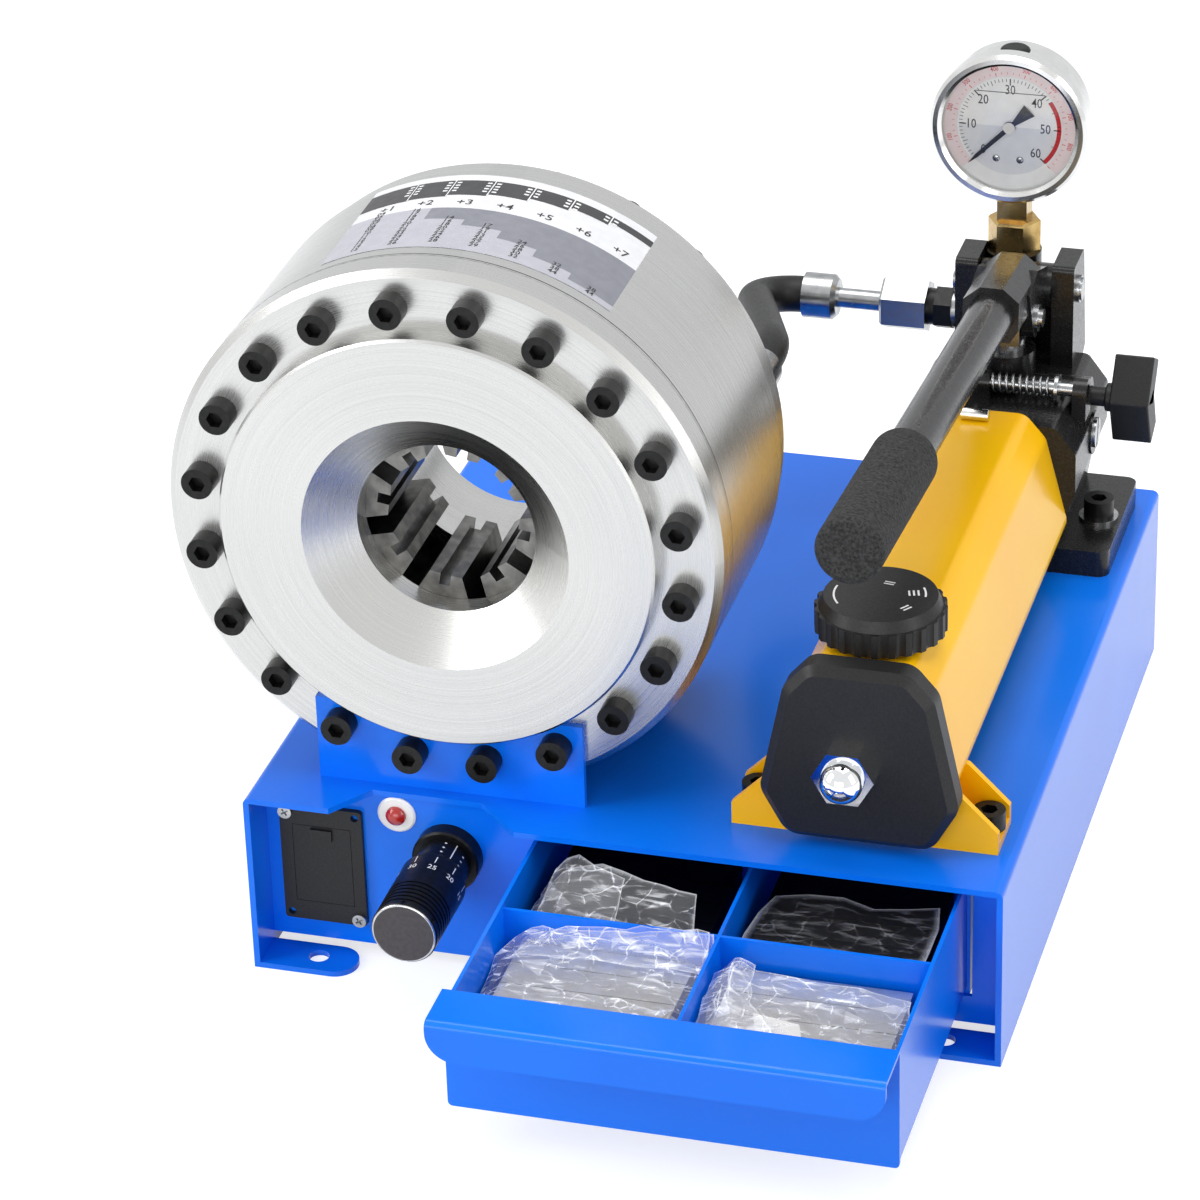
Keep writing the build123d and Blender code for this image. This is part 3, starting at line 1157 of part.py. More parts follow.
with BuildPart() as scale_thimble:
    with BuildSketch(scale_side):
        with BuildLine():
            Polyline((0, THIMBLE_Y0), (12.6, THIMBLE_Y0), (13.6, THIMBLE_Y0 + 1),
                     (13.6, THIMBLE_Y1 - 4), (11.9, THIMBLE_Y1), (11.1, THIMBLE_Y1),
                     (11.1, SLEEVE_Y0 - 0.2), (5.05, SLEEVE_Y0 - 0.2), (5.05, SPINDLE_Y0 - 0.3),
                     (0, SPINDLE_Y0 - 0.3), close=True)
        make_face()
    revolve(axis=scale_axis)
    with BuildSketch(scale_side):
        for k in range(6):
            with Locations((13.6, THIMBLE_Y0 + 4.0 + 2.6 * k)):
                Rectangle(1.2, 1.0)
    revolve(axis=scale_axis, mode=Mode.SUBTRACT)
    with BuildSketch(Plane.XZ.offset(-THIMBLE_Y0)):
        with Locations((SCALE_X, SCALE_Z)):
            with PolarLocations(14.0, 6, 30):
                Circle(0.9)
    extrude(amount=-3.0, mode=Mode.SUBTRACT)
scale_thimble.part.label = "scale_thimble"
export_step(scale_thimble.part, "parts/scale_thimble.step")

# Battery box: tray behind the panel with a frame in front, and its hinged lid
FRAME_T = 2.5
FRAME_Y = PANEL_Y - FRAME_T
BOX_DEPTH = 20.0
BOX_CORNERS = [(BOX_X + 14.6 * i, BOX_Z + 24.0 * j) for i in (-1, 1) for j in (-1, 1)]
BOX_SCREWED = (BOX_CORNERS[1], BOX_CORNERS[2])
with BuildPart() as battery_box:
    with BuildSketch(Plane.XZ.offset(-FRAME_Y)):
        with Locations((BOX_X, BOX_Z)):
            RectangleRounded(BOX_W, BOX_H, 1.5)
    extrude(amount=-FRAME_T)
    with BuildSketch(Plane.XZ.offset(-PANEL_Y)):
        with Locations((LID_X, LID_Z)):
            Rectangle(BAY_W + 2 * BOX_WALL, BAY_H + 2 * BOX_WALL)
    extrude(amount=-BOX_DEPTH)
    with BuildSketch(Plane.XZ.offset(-FRAME_Y)):
        with Locations((LID_X, LID_Z)):
            Rectangle(BAY_W, BAY_H)
    extrude(amount=-FRAME_T - BOX_DEPTH + BOX_WALL, mode=Mode.SUBTRACT)
    with BuildSketch(Plane.XZ.offset(-FRAME_Y)):
        with Locations(*BOX_CORNERS):
            Circle(1.6)
    extrude(amount=-FRAME_T, mode=Mode.SUBTRACT)
battery_box.part.label = "battery_box"
export_step(battery_box.part, "parts/battery_box.step")

with BuildPart() as battery_lid:
    with BuildSketch(Plane.XZ.offset(-FRAME_Y)):
        with Locations((LID_X, LID_Z)):
            Rectangle(LID_W, LID_H)
    extrude(amount=-1.6)
    with BuildSketch(Plane.XZ.offset(-FRAME_Y)):
        with Locations((LID_X, LID_Z + LID_H / 2 - 3.5)):
            Rectangle(9.0, 5.0)
    extrude(amount=1.2)
battery_lid.part.label = "battery_lid"
export_step(battery_lid.part, "parts/battery_lid.step")

with BuildPart() as box_screws:
    with BuildSketch(Plane.XZ.offset(-FRAME_Y)):
        with Locations(*BOX_SCREWED):
            Circle(2.9)
    extrude(amount=1.6)
    with BuildSketch(Plane.XZ.offset(-FRAME_Y)):
        with Locations(*BOX_SCREWED):
            Circle(1.5)
    extrude(amount=-FRAME_T)
    with BuildSketch(Plane.XZ.offset(-FRAME_Y + 1.6)):
        with Locations(*BOX_SCREWED):
            Rectangle(3.4, 0.8, rotation=35)
            Rectangle(0.8, 3.4, rotation=35)
    extrude(amount=-1.0, mode=Mode.SUBTRACT)
box_screws.part.label = "box_screws"
export_step(box_screws.part, "parts/box_screws.step")

# Start button: bezel clamped in the panel and a sprung domed cap
with BuildPart() as button_bezel:
    with BuildSketch(Plane(origin=(LAMP_X, 0, LAMP_Z), x_dir=(1, 0, 0), z_dir=(0, 0, 1))):
        with BuildLine():
            Polyline((4.1, PANEL_Y - 1.2), (7.2, PANEL_Y - 1.2), (8.0, PANEL_Y - 0.6), (8.0, PANEL_Y),
                     (4.95, PANEL_Y), (4.95, PANEL_Y + 12), (0, PANEL_Y + 12), (0, PANEL_Y + 9),
                     (4.1, PANEL_Y + 9), close=True)
        make_face()
    revolve(axis=Axis((LAMP_X, 0, LAMP_Z), (0, 1, 0)))
button_bezel.part.label = "button_bezel"
export_step(button_bezel.part, "parts/button_bezel.step")

with BuildPart() as push_button:
    with BuildSketch(Plane(origin=(LAMP_X, 0, LAMP_Z), x_dir=(1, 0, 0), z_dir=(0, 0, 1))):
        with BuildLine():
            dome(4.05, 2.2, PANEL_Y - 2.6)
            Polyline((0, PANEL_Y - 4.8), (0, PANEL_Y + 6.5), (4.05, PANEL_Y + 6.5), (4.05, PANEL_Y - 2.6))
        make_face()
    revolve(axis=Axis((LAMP_X, 0, LAMP_Z), (0, 1, 0)))
push_button.part.label = "push_button"
export_step(push_button.part, "parts/push_button.step")
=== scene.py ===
# %% [markdown]
# # A hand-pumped hose crimping machine
# The machine is pressed sheet, turned steel and a small hand pump. Its solid bodies come
# packed from CAD and are the fixed frame here: this lesson dresses them with finishes and
# adds the thin things a solid model leaves out, such as scales, film bags and a paper slip.
# Everything is in metres, and the operator stands at -Y.

# %% The frame and a clean selection
import math
import random

import bmesh
import bpy
from mathutils import Matrix, Vector


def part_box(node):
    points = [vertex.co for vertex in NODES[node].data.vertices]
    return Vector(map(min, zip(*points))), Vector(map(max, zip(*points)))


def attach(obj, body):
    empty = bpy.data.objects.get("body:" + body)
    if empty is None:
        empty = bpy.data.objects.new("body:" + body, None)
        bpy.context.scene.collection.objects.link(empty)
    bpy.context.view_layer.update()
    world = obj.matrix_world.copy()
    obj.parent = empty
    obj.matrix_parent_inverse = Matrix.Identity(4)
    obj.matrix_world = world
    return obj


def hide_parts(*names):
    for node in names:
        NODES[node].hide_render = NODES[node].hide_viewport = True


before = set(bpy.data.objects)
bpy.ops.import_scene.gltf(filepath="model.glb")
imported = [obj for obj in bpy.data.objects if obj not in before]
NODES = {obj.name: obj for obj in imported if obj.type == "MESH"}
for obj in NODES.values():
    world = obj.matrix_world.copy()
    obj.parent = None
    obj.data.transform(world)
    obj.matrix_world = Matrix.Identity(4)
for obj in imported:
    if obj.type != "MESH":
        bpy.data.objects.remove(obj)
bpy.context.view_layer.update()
bpy.ops.object.select_all(action="DESELECT")
MM = 0.001

# %% [markdown]
# ## The camera
# A product photographer stood to the right of the machine and above it with a long lens.
# The view was solved from the machine's own straight edges, so it is given as a place, a
# turn to the right, a downward pitch and a slight roll.

# %% Camera with a long lens
SHOT = {"at": (0.45887, -1.70227, 1.07491), "turn": 16.77, "down": 28.95, "roll": -1.89, "lens": 143.87}


def aim_camera(shot):
    """Adds the camera; its turn comes from three unit vectors worked out from the angles."""
    turn, down, roll = (math.radians(shot[k]) for k in ("turn", "down", "roll"))
    ahead = Vector((-math.sin(turn) * math.cos(down), math.cos(turn) * math.cos(down), -math.sin(down)))
    right = Vector((math.cos(turn), math.sin(turn), 0))
    up = right.cross(ahead)
    rolled = math.cos(roll) * right + math.sin(roll) * up
    upright = -math.sin(roll) * right + math.cos(roll) * up
    bpy.ops.object.camera_add(location=shot["at"])
    camera = bpy.context.object
    camera.name = "camera"
    camera.rotation_euler = Matrix((rolled, upright, -ahead)).transposed().to_euler()
    camera.data.sensor_width = 36
    camera.data.lens = shot["lens"]
    camera.data.clip_end = 30
    bpy.context.scene.camera = camera
    return camera


camera = aim_camera(SHOT)
print("camera looks along", [round(v, 3) for v in camera.matrix_basis.to_3x3() @ Vector((0, 0, -1))])

# %% [markdown]
# ## Colours and shader nodes
# Colours are written as sRGB hex, as a colour card gives them, and one function turns them
# to the linear numbers that the shaders want. One more function adds a shader node, sets it
# and links it, so a whole finish reads as a few lines.

# %% Colour and node helpers
RAMP_ENDS = (0, 1)


def tint(code):
    """Linear colour of an sRGB hex code."""
    parts = [int(code[k:k + 2], 16) / 255 for k in (1, 3, 5)]
    return tuple(c / 12.92 if c <= 0.04045 else ((c + 0.055) / 1.055) ** 2.4 for c in parts) + (1.0,)


def add(tree, kind, settings=None, **inputs):
    """Adds a node, gives it its settings, and links or fills its inputs.

    in0, in1 go by number, and the setting "stops" gives a colour ramp its (position, hex) stops.
    """
    made = tree.nodes.new(kind)
    settings = dict(settings or {})
    for element, (position, code) in zip(RAMP_ENDS, settings.pop("stops", ())):
        made.color_ramp.elements[element].position = position
        made.color_ramp.elements[element].color = tint(code)
    for name, value in settings.items():
        setattr(made, name, value)
    for name, value in inputs.items():
        numbered = name.startswith("in") and name[2:].isdigit()
        socket = made.inputs[int(name[2:])] if numbered else made.inputs[name.replace("_", " ")]
        if isinstance(value, bpy.types.NodeSocket):
            tree.links.new(value, socket)
        else:
            socket.default_value = value
    return made


def finish(name, **shader):
    """Starts a material: its tree, its main shader with the given sockets, and Object coordinates."""
    material = bpy.data.materials.new(name)
    material.use_nodes = True
    tree = material.node_tree
    tree.nodes.clear()
    main = add(tree, "ShaderNodeBsdfPrincipled", **shader)
    add(tree, "ShaderNodeOutputMaterial", Surface=main.outputs["BSDF"])
    place = add(tree, "ShaderNodeTexCoord").outputs["Object"]
    return material, tree, main, place


def mottled(tree, main, factor, dark, light, rough, edges=(0.3, 0.7)):
    """Runs colour and roughness from one factor: dark and rough[0] when it is low."""
    stops = list(zip(edges, (dark, light)))
    colour = add(tree, "ShaderNodeValToRGB", {"stops": stops}, Fac=factor).outputs["Color"]
    tree.links.new(colour, main.inputs["Base Color"])
    shine = add(tree, "ShaderNodeMapRange", Value=factor, From_Min=0.3, From_Max=0.7,
                To_Min=rough[0], To_Max=rough[1]).outputs["Result"]
    tree.links.new(shine, main.inputs["Roughness"])


print("mid grey as linear:", [round(c, 3) for c in tint("#808080")])

# %% [markdown]
# ## Floor and light
# The floor is a pale sheet that sweeps up behind the machine. Three soft boxes and an
# overhead panel light the machine at a plain level and give metal something to mirror; the
# world fills the rest. Sheet and world look white to the camera and in mirrors and glass,
# and throw less light than that on the machine.

# %% Pale sweep
SWEEP_STEPS, SWEEP_STRIP, SWEEP_WALL = 8, 0.35, 4.0
SHEET_GLOW = 0.7


def seen_white(tree, level):
    """A strength that only rays from the camera, or by way of a mirror or glass, come to see."""
    ray = add(tree, "ShaderNodeLightPath")
    mirrored = add(tree, "ShaderNodeMath", {"operation": "MAXIMUM"}, in0=ray.outputs["Is Glossy Ray"],
                   in1=ray.outputs["Is Transmission Ray"]).outputs[0]
    seen = add(tree, "ShaderNodeMath", {"operation": "MAXIMUM"}, in0=ray.outputs["Is Camera Ray"],
               in1=mirrored).outputs[0]
    return add(tree, "ShaderNodeMath", {"operation": "MULTIPLY"}, in0=seen, in1=level).outputs[0]


def pale_sweep():
    """One sheet: a floor that curves up into a backdrop."""
    bpy.ops.mesh.primitive_plane_add(size=1, location=(0, 0.4, 0))
    sweep = bpy.context.object
    sweep.name = "pale_sweep"
    sweep.scale = (9, 7, 1)
    bpy.ops.object.transform_apply(location=True, scale=True)
    bpy.ops.object.mode_set(mode="EDIT")
    bpy.ops.mesh.select_all(action="DESELECT")
    bpy.ops.mesh.select_mode(type="EDGE")
    mesh = bmesh.from_edit_mesh(sweep.data)
    for edge in mesh.edges:
        edge.select_set(all(v.co.y > 3 for v in edge.verts))
    bmesh.update_edit_mesh(sweep.data)
    for step in range(1, SWEEP_STEPS + 1):
        angle = math.radians(90 * step / SWEEP_STEPS)
        away = (0, SWEEP_STRIP * math.cos(angle), SWEEP_STRIP * math.sin(angle))
        bpy.ops.mesh.extrude_region_move(TRANSFORM_OT_translate={"value": away})
    bpy.ops.mesh.extrude_region_move(TRANSFORM_OT_translate={"value": (0, 0, SWEEP_WALL)})
    bpy.ops.object.mode_set(mode="OBJECT")
    bpy.ops.object.shade_smooth()
    print("sweep spans y", [round(f(v.co.y for v in sweep.data.vertices), 2) for f in (min, max)],
          "and is z 0 at the front:", all(v.co.z == 0 for v in sweep.data.vertices if v.co.y < 3))
    material, tree, main, place = finish("matt_white_paper", Base_Color=tint("#B9BBBE"), Roughness=0.9)
    paper = next(n for n in tree.nodes if n.bl_idname == "ShaderNodeOutputMaterial")
    glow = add(tree, "ShaderNodeEmission", Color=tint("#FFFFFF"), Strength=seen_white(tree, SHEET_GLOW))
    both = add(tree, "ShaderNodeAddShader", in0=main.outputs["BSDF"], in1=glow.outputs[0])
    tree.links.new(both.outputs[0], paper.inputs["Surface"])
    sweep.data.materials.append(material)


pale_sweep()
bpy.ops.object.select_all(action="DESELECT")


# %% Soft boxes and world
def soft_box(name, at, size, watts):
    """A white rectangular lamp at a place, turned to face the heart of the machine."""
    bpy.ops.object.light_add(type="AREA", location=at)
    lamp = bpy.context.object
    lamp.name = name
    lamp.data.shape = "RECTANGLE"
    lamp.data.size, lamp.data.size_y = size
    lamp.data.energy = watts
    lamp.rotation_euler = (HEART - Vector(at)).to_track_quat("-Z", "Y").to_euler()


HEART = Vector((0, 0, 0.15))
soft_box("overhead_panel", (0.1, 0.2, 1.9), (1.6, 1.2), 21)
soft_box("left_box", (-1.7, -1.1, 1.2), (0.9, 1.5), 24)
soft_box("right_box", (1.8, -0.6, 1.0), (0.7, 1.4), 13)
soft_box("front_box", (0.0, -2.4, 0.7), (1.8, 0.9), 19)
world = bpy.data.worlds.new("studio")
world.use_nodes = True
bpy.context.scene.world = world
sky = world.node_tree
sky.nodes.clear()
fill = add(sky, "ShaderNodeBackground", Color=tint("#F2F4F7"), Strength=0.5)
white = add(sky, "ShaderNodeBackground", Color=tint("#FFFFFF"), Strength=1.0)
mixed = add(sky, "ShaderNodeMixShader", in0=seen_white(sky, 1.0), in1=fill.outputs[0], in2=white.outputs[0])
add(sky, "ShaderNodeOutputWorld", Surface=mixed.outputs[0])
bpy.context.scene.view_settings.view_transform = "Standard"

# %% [markdown]
# ## Gloss powder coat on the sheet steel
# The base, the drawer and the two bracket plates are sprayed with powder and baked. The film
# flows into a deep gloss with a faint orange peel about 1.5 mm across, so the colour stays
# even while the reflections ripple a little. The tank has a yellow gloss enamel with a
# slightly wider peel. Both mirror less than bare lacquer would, which keeps the colour deep.

# %% Blue and yellow gloss paint
def gloss_paint(name, body, shade, peel, rough):
    """Gloss paint: two close shades of one colour, orange peel and a clear top."""
    material, tree, main, place = finish(name, Roughness=rough, Specular_IOR_Level=0.3,
                                         Coat_Weight=0.06, Coat_Roughness=0.06)
    drift = add(tree, "ShaderNodeTexNoise", Vector=place, Scale=9.0, Detail=2.0).outputs["Fac"]
    colour = add(tree, "ShaderNodeValToRGB", {"stops": [(0.35, body), (0.65, shade)]}, Fac=drift)
    tree.links.new(colour.outputs["Color"], main.inputs["Base Color"])
    skin = add(tree, "ShaderNodeTexNoise", Vector=place, Scale=1 / peel, Detail=1.0).outputs["Fac"]
    bump = add(tree, "ShaderNodeBump", Strength=0.06, Distance=0.0004, Height=skin)
    tree.links.new(bump.outputs["Normal"], main.inputs["Normal"])
    return material


BLUE = gloss_paint("blue_powder_coat", "#0576F6", "#056EEA", peel=0.0015, rough=0.22)
YELLOW = gloss_paint("yellow_gloss_enamel", "#FFC306", "#FDB904", peel=0.0022, rough=0.25)
print("paints:", BLUE.name, YELLOW.name)

# %% [markdown]
# ## Turned steel
# Barrel and flanges come from a lathe: fine rings run round the axis, on the flat faces as
# well as on the outside. Rings pull every highlight into a fan on a face and a band on the
# barrel. The shader gets that from a high anisotropy with its grain running round the axis,
# and the rings themselves are noise read by radius and depth, drawn 0.5 mm apart, several
# times coarser than the real cut, so that they show.

# %% Steel from the lathe
HEAD_AXIS = (-74.5 * MM, 0.0, 195 * MM)
RING = 0.5 * MM


def round_axis(tree, place, centre):
    """Radius, depth, outward and round-about direction from an axis along Y through centre."""
    from_axis = add(tree, "ShaderNodeVectorMath", {"operation": "SUBTRACT"},
                    in0=place, in1=centre).outputs[0]
    flat = add(tree, "ShaderNodeVectorMath", {"operation": "MULTIPLY"},
               in0=from_axis, in1=(1, 0, 1)).outputs[0]
    radius = add(tree, "ShaderNodeVectorMath", {"operation": "LENGTH"}, in0=flat).outputs["Value"]
    depth = add(tree, "ShaderNodeSeparateXYZ", Vector=from_axis).outputs["Y"]
    outward = add(tree, "ShaderNodeVectorMath", {"operation": "NORMALIZE"}, in0=flat).outputs[0]
    about = add(tree, "ShaderNodeVectorMath", {"operation": "CROSS_PRODUCT"},
                in0=(0, 1, 0), in1=outward).outputs[0]
    return radius, depth, outward, about


def lathe_rings(tree, radius, depth, outward, pitch):
    """Noise that runs in rings round the axis and drifts slowly along each ring."""
    across = add(tree, "ShaderNodeCombineXYZ", X=radius, Y=depth).outputs[0]
    fine = add(tree, "ShaderNodeVectorMath", {"operation": "SCALE"}, in0=across, Scale=1 / pitch).outputs[0]
    slow = add(tree, "ShaderNodeVectorMath", {"operation": "SCALE"}, in0=outward, Scale=0.7).outputs[0]
    spot = add(tree, "ShaderNodeVectorMath", {"operation": "ADD"}, in0=fine, in1=slow).outputs[0]
    return add(tree, "ShaderNodeTexNoise", Vector=spot, Scale=1.0, Detail=3.0,
               Roughness=0.6).outputs["Fac"]


def turned(name, bright, dull, centre):
    """Bare metal from the lathe, its grain round an axis along Y through centre."""
    material, tree, main, place = finish(name, Metallic=1.0, Anisotropic=0.6)
    radius, depth, outward, about = round_axis(tree, place, centre)
    rings = lathe_rings(tree, radius, depth, outward, RING)
    mottled(tree, main, rings, dull, bright, (0.32, 0.24))
    tree.links.new(about, main.inputs["Tangent"])
    bump = add(tree, "ShaderNodeBump", Strength=0.04, Distance=0.0001, Height=rings)
    tree.links.new(bump.outputs["Normal"], main.inputs["Normal"])
    return material


TURNED = turned("turned_carbon_steel", "#CDCDCB", "#BFBFBD", HEAD_AXIS)
print("turned steel rings:", RING * 1000, "mm")

# %% [markdown]
# ## The small metals
# Die shoes are ground tool steel, dark from heat treatment. The spare dies are bright ground
# steel, and the two sets at the back of the drawer are coloured near black. Screws are black oxide, which is
# a thin soft-black skin that dulls steel without hiding it. Pins, nuts and hose ends are
# bright zinc, the acorn nut is chromed, the gauge stands on brass in a polished case.

# %% Plain and plated metals
def plated(name, light, dark, rough, metallic=1.0, grain=0.004, spread=0.08, relief=0.05):
    """Metal skin with a mottled tone: two shades, and a roughness that follows them."""
    material, tree, main, place = finish(name, Metallic=metallic)
    mottle = add(tree, "ShaderNodeTexNoise", Vector=place, Scale=1 / grain, Detail=4.0).outputs["Fac"]
    mottled(tree, main, mottle, dark, light, (rough + spread, rough))
    pits = add(tree, "ShaderNodeTexNoise", Vector=place, Scale=8 / grain, Detail=2.0).outputs["Fac"]
    bump = add(tree, "ShaderNodeBump", Strength=relief, Distance=0.0001, Height=pits)
    tree.links.new(bump.outputs["Normal"], main.inputs["Normal"])
    return material


def blued_behind(metal, depth, code):
    """Gives a metal another colour behind a depth in metres."""
    tree = metal.node_tree
    main = next(n for n in tree.nodes if n.bl_idname == "ShaderNodeBsdfPrincipled")
    bright = main.inputs["Base Color"].links[0].from_socket
    place = add(tree, "ShaderNodeTexCoord").outputs["Object"]
    along = add(tree, "ShaderNodeSeparateXYZ", Vector=place).outputs["Y"]
    behind = add(tree, "ShaderNodeMapRange", Value=along, From_Min=depth - 0.0005,
                 From_Max=depth + 0.0005, To_Min=0.0, To_Max=1.0).outputs["Result"]
    both = add(tree, "ShaderNodeMixRGB", Fac=behind, Color1=bright, Color2=tint(code))
    tree.links.new(both.outputs[0], main.inputs["Base Color"])


TOOL_STEEL = plated("ground_tool_steel", "#807F7C", "#5A5957", 0.3, grain=0.006)
DIE_STEEL = plated("ground_die_steel", "#DAD8D4", "#B4B1AC", 0.34, grain=0.008)
# The two sets at the back of the drawer are coloured near black, behind y = -0.205 m.
blued_behind(DIE_STEEL, -0.205, "#1E1F24")
BLACK_OXIDE = plated("black_oxide_screw", "#1E1E1E", "#111111", 0.3, metallic=0.6, grain=0.002)
ZINC = plated("bright_zinc_plate", "#B4B5B6", "#939597", 0.2, grain=0.005)
CHROME = plated("chrome_plate", "#EDEEF0", "#E2E4E6", 0.05, grain=0.01, spread=0.03, relief=0.0)
STAINLESS = plated("polished_stainless", "#E3E3E2", "#D6D6D4", 0.1, grain=0.01, spread=0.06, relief=0.02)
BRASS = plated("turned_brass", "#C9AC70", "#B2935A", 0.2, grain=0.004)
METALS = (TOOL_STEEL, DIE_STEEL, BLACK_OXIDE, ZINC, CHROME, STAINLESS, BRASS)
print("small metals:", [m.name for m in METALS])

# %% [markdown]
# ## Black enamel, plastic, rubber and foam
# Four blacks meet on the pump and they differ only in how they shine: the casting has thick
# glossy enamel over a sandy skin, the end cap and knobs are moulded plastic with a satin
# face, the hose is smooth rubber, and the grip is a foam sleeve with a coarse open grain.

# %% The blacks
def grained_black(name, light, dark, rough, grain, relief, spread=0.1, depth=0.0003, **more):
    """Black surface whose shine and relief come from one grain size."""
    material, tree, main, place = finish(name, Specular_IOR_Level=0.3, **more)
    skin = add(tree, "ShaderNodeTexNoise", Vector=place, Scale=1 / grain, Detail=3.0,
               Roughness=0.6).outputs["Fac"]
    mottled(tree, main, skin, dark, light, (rough + spread, rough), edges=(0.35, 0.65))
    bump = add(tree, "ShaderNodeBump", Strength=relief, Distance=depth, Height=skin)
    tree.links.new(bump.outputs["Normal"], main.inputs["Normal"])
    return material


CASTING = grained_black("black_enamel_casting", "#1B1B1C", "#101011", 0.22, 0.0016, 0.25,
                        Coat_Weight=0.15, Coat_Roughness=0.1)
ENAMEL = grained_black("black_gloss_enamel", "#1C1C1D", "#131314", 0.2, 0.0025, 0.08,
                       Coat_Weight=0.15, Coat_Roughness=0.08)
PLASTIC = grained_black("moulded_black_abs", "#202021", "#171718", 0.38, 0.0009, 0.12)
RUBBER = grained_black("smooth_black_rubber", "#191919", "#121212", 0.42, 0.0012, 0.1)
FOAM = grained_black("black_foam_sleeve", "#3A3A3A", "#1A1A1A", 0.75, 0.0013, 0.9,
                     spread=0.15, depth=0.0008)
ANODISED = grained_black("black_anodised_aluminium", "#1D1E20", "#131315", 0.3, 0.002, 0.05,
                         Metallic=0.6)
print("blacks:", [m.name for m in (CASTING, ENAMEL, PLASTIC, RUBBER, FOAM, ANODISED)])

# %% [markdown]
# ## Dial card, lens, button and inks
# The gauge lens is clear. It is two flat faces, so it only mirrors a little more at a low
# angle and lets everything else straight through: a clear shader mixed with a mirror by
# Fresnel does that and lets the lamps in. A low IOR stands in for the coated glass. Card,
# button and inks are even colours that differ in how they shine.

# %% Clear and printed finishes
def clear_sheet(name, mirror, ior):
    """Thin clear sheet: see-through, with a mirror that grows at a low angle."""
    material = bpy.data.materials.new(name)
    material.use_nodes = True
    tree = material.node_tree
    tree.nodes.clear()
    lit = add(tree, "ShaderNodeBsdfGlossy", Color=tint("#FFFFFF"), Roughness=mirror)
    through = add(tree, "ShaderNodeBsdfTransparent", Color=tint("#FFFFFF"))
    amount = add(tree, "ShaderNodeFresnel", IOR=ior).outputs[0]
    mixed = add(tree, "ShaderNodeMixShader", in0=amount, in1=through.outputs[0], in2=lit.outputs[0])
    add(tree, "ShaderNodeOutputMaterial", Surface=mixed.outputs[0])
    return material


LENS = clear_sheet("gauge_lens_glass", mirror=0.03, ior=1.3)


def even(name, code, rough, drifted, **more):
    """Moulded or printed colour with a faint drift in tone and shine."""
    material, tree, main, place = finish(name, **more)
    drift = add(tree, "ShaderNodeTexNoise", Vector=place, Scale=220.0, Detail=2.0).outputs["Fac"]
    mottled(tree, main, drift, code, drifted, (rough, rough + 0.06))
    return material


DIAL_CARD = even("white_dial_lacquer", "#F6F6F4", 0.5, "#F0F0EE")
WHITE_RING = even("white_moulded_ring", "#F1F1EF", 0.25, "#EAEAE8", Coat_Weight=0.3)
RED_CAP = even("red_moulded_cap", "#B3231E", 0.2, "#A81C18", Coat_Weight=0.4)
# This black is printing ink and the needle's colour, and it is also painted shade in the screw slots and at
# the seam of the head.
INK_AND_SHADE_BLACK = even("black_ink_and_painted_shade", "#161616", 0.5, "#1C1C1C")
PRINT_RED = even("red_printing_ink", "#D3202A", 0.5, "#C81B26")
PRINT_WHITE = even("white_printing_ink", "#EDEDED", 0.5, "#E3E3E3")
print("printed colours ready")

# %% [markdown]
# ## Finishes onto the imported bodies
# Most bodies have the right shape already, so each one only gets its finish.

# %% Which finish each body gets
DRESS = {
    BLUE: ["base_frame", "front_panel", "rear_panel", "drawer_guides", "drawer", "drawer_dividers",
           "head_bracket_front", "head_bracket_rear"],
    YELLOW: ["oil_tank", "pump_front_foot"],
    TURNED: ["front_flange", "barrel", "rear_flange"],
    TOOL_STEEL: ["ram"] + ["die_shoe_%d" % (k + 1) for k in range(8)],
    DIE_STEEL: ["spare_dies"],
    BLACK_OXIDE: ["head_bolts", "foot_bolts", "pump_port_adaptor"],
    ZINC: ["port_adaptor", "head_hose_nut", "hose_ends", "pump_hose_nut", "seal_washer",
           "pivot_pin", "link_pin", "plunger", "relief_plug", "lock_rod", "lock_spring", "box_screws"],
    CHROME: ["acorn_nut"],
    WHITE_RING: ["button_bezel"],
    STAINLESS: ["gauge_case", "gauge_bezel"],
    BRASS: ["gauge_adaptor"],
    CASTING: ["pump_head"],
    ENAMEL: ["lever_block", "lever_tube"],
    PLASTIC: ["tank_end_cap", "filler_cap", "release_knob", "battery_box", "battery_lid"],
    RUBBER: ["hydraulic_hose"],
    FOAM: ["lever_grip"],
    ANODISED: ["scale_sleeve", "scale_thimble"],
    DIAL_CARD: ["gauge_dial"],
    INK_AND_SHADE_BLACK: ["gauge_needle"],
    RED_CAP: ["push_button"],
    LENS: ["gauge_glass"],
}


def dress(node, material):
    """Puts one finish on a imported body."""
    body = NODES[node]
    if not body.data.materials:
        body.data.materials.append(material)
    for slot in range(len(body.material_slots)):
        body.material_slots[slot].material = material


for material, names in DRESS.items():
    for node in names:
        dress(node, material)
dressed = {n for names in DRESS.values() for n in names}
print("finishes:", len(DRESS), "bodies dressed:", len(dressed), "left:", sorted(set(NODES) - dressed))

# %% [markdown]
# ## Printing on curved and flat places
# Scales and figures are ink a few hundredths of a millimetre thick. Each mark is drawn flat as
# on paper, in millimetres, and the sheet is then laid on its place: upright on the gauge,
# flat on the filler cap, or rolled round the barrel and the depth stop.

# %% Drawing flat marks
def bar(x, y, width, height, turn=0.0):
    """A flat bar on the paper, centre x, y in millimetres, turned by degrees."""
    bpy.ops.mesh.primitive_plane_add(size=1, location=(x, y, 0), rotation=(0, 0, math.radians(turn)))
    made = bpy.context.object
    made.scale = (width, height, 1)
    return made


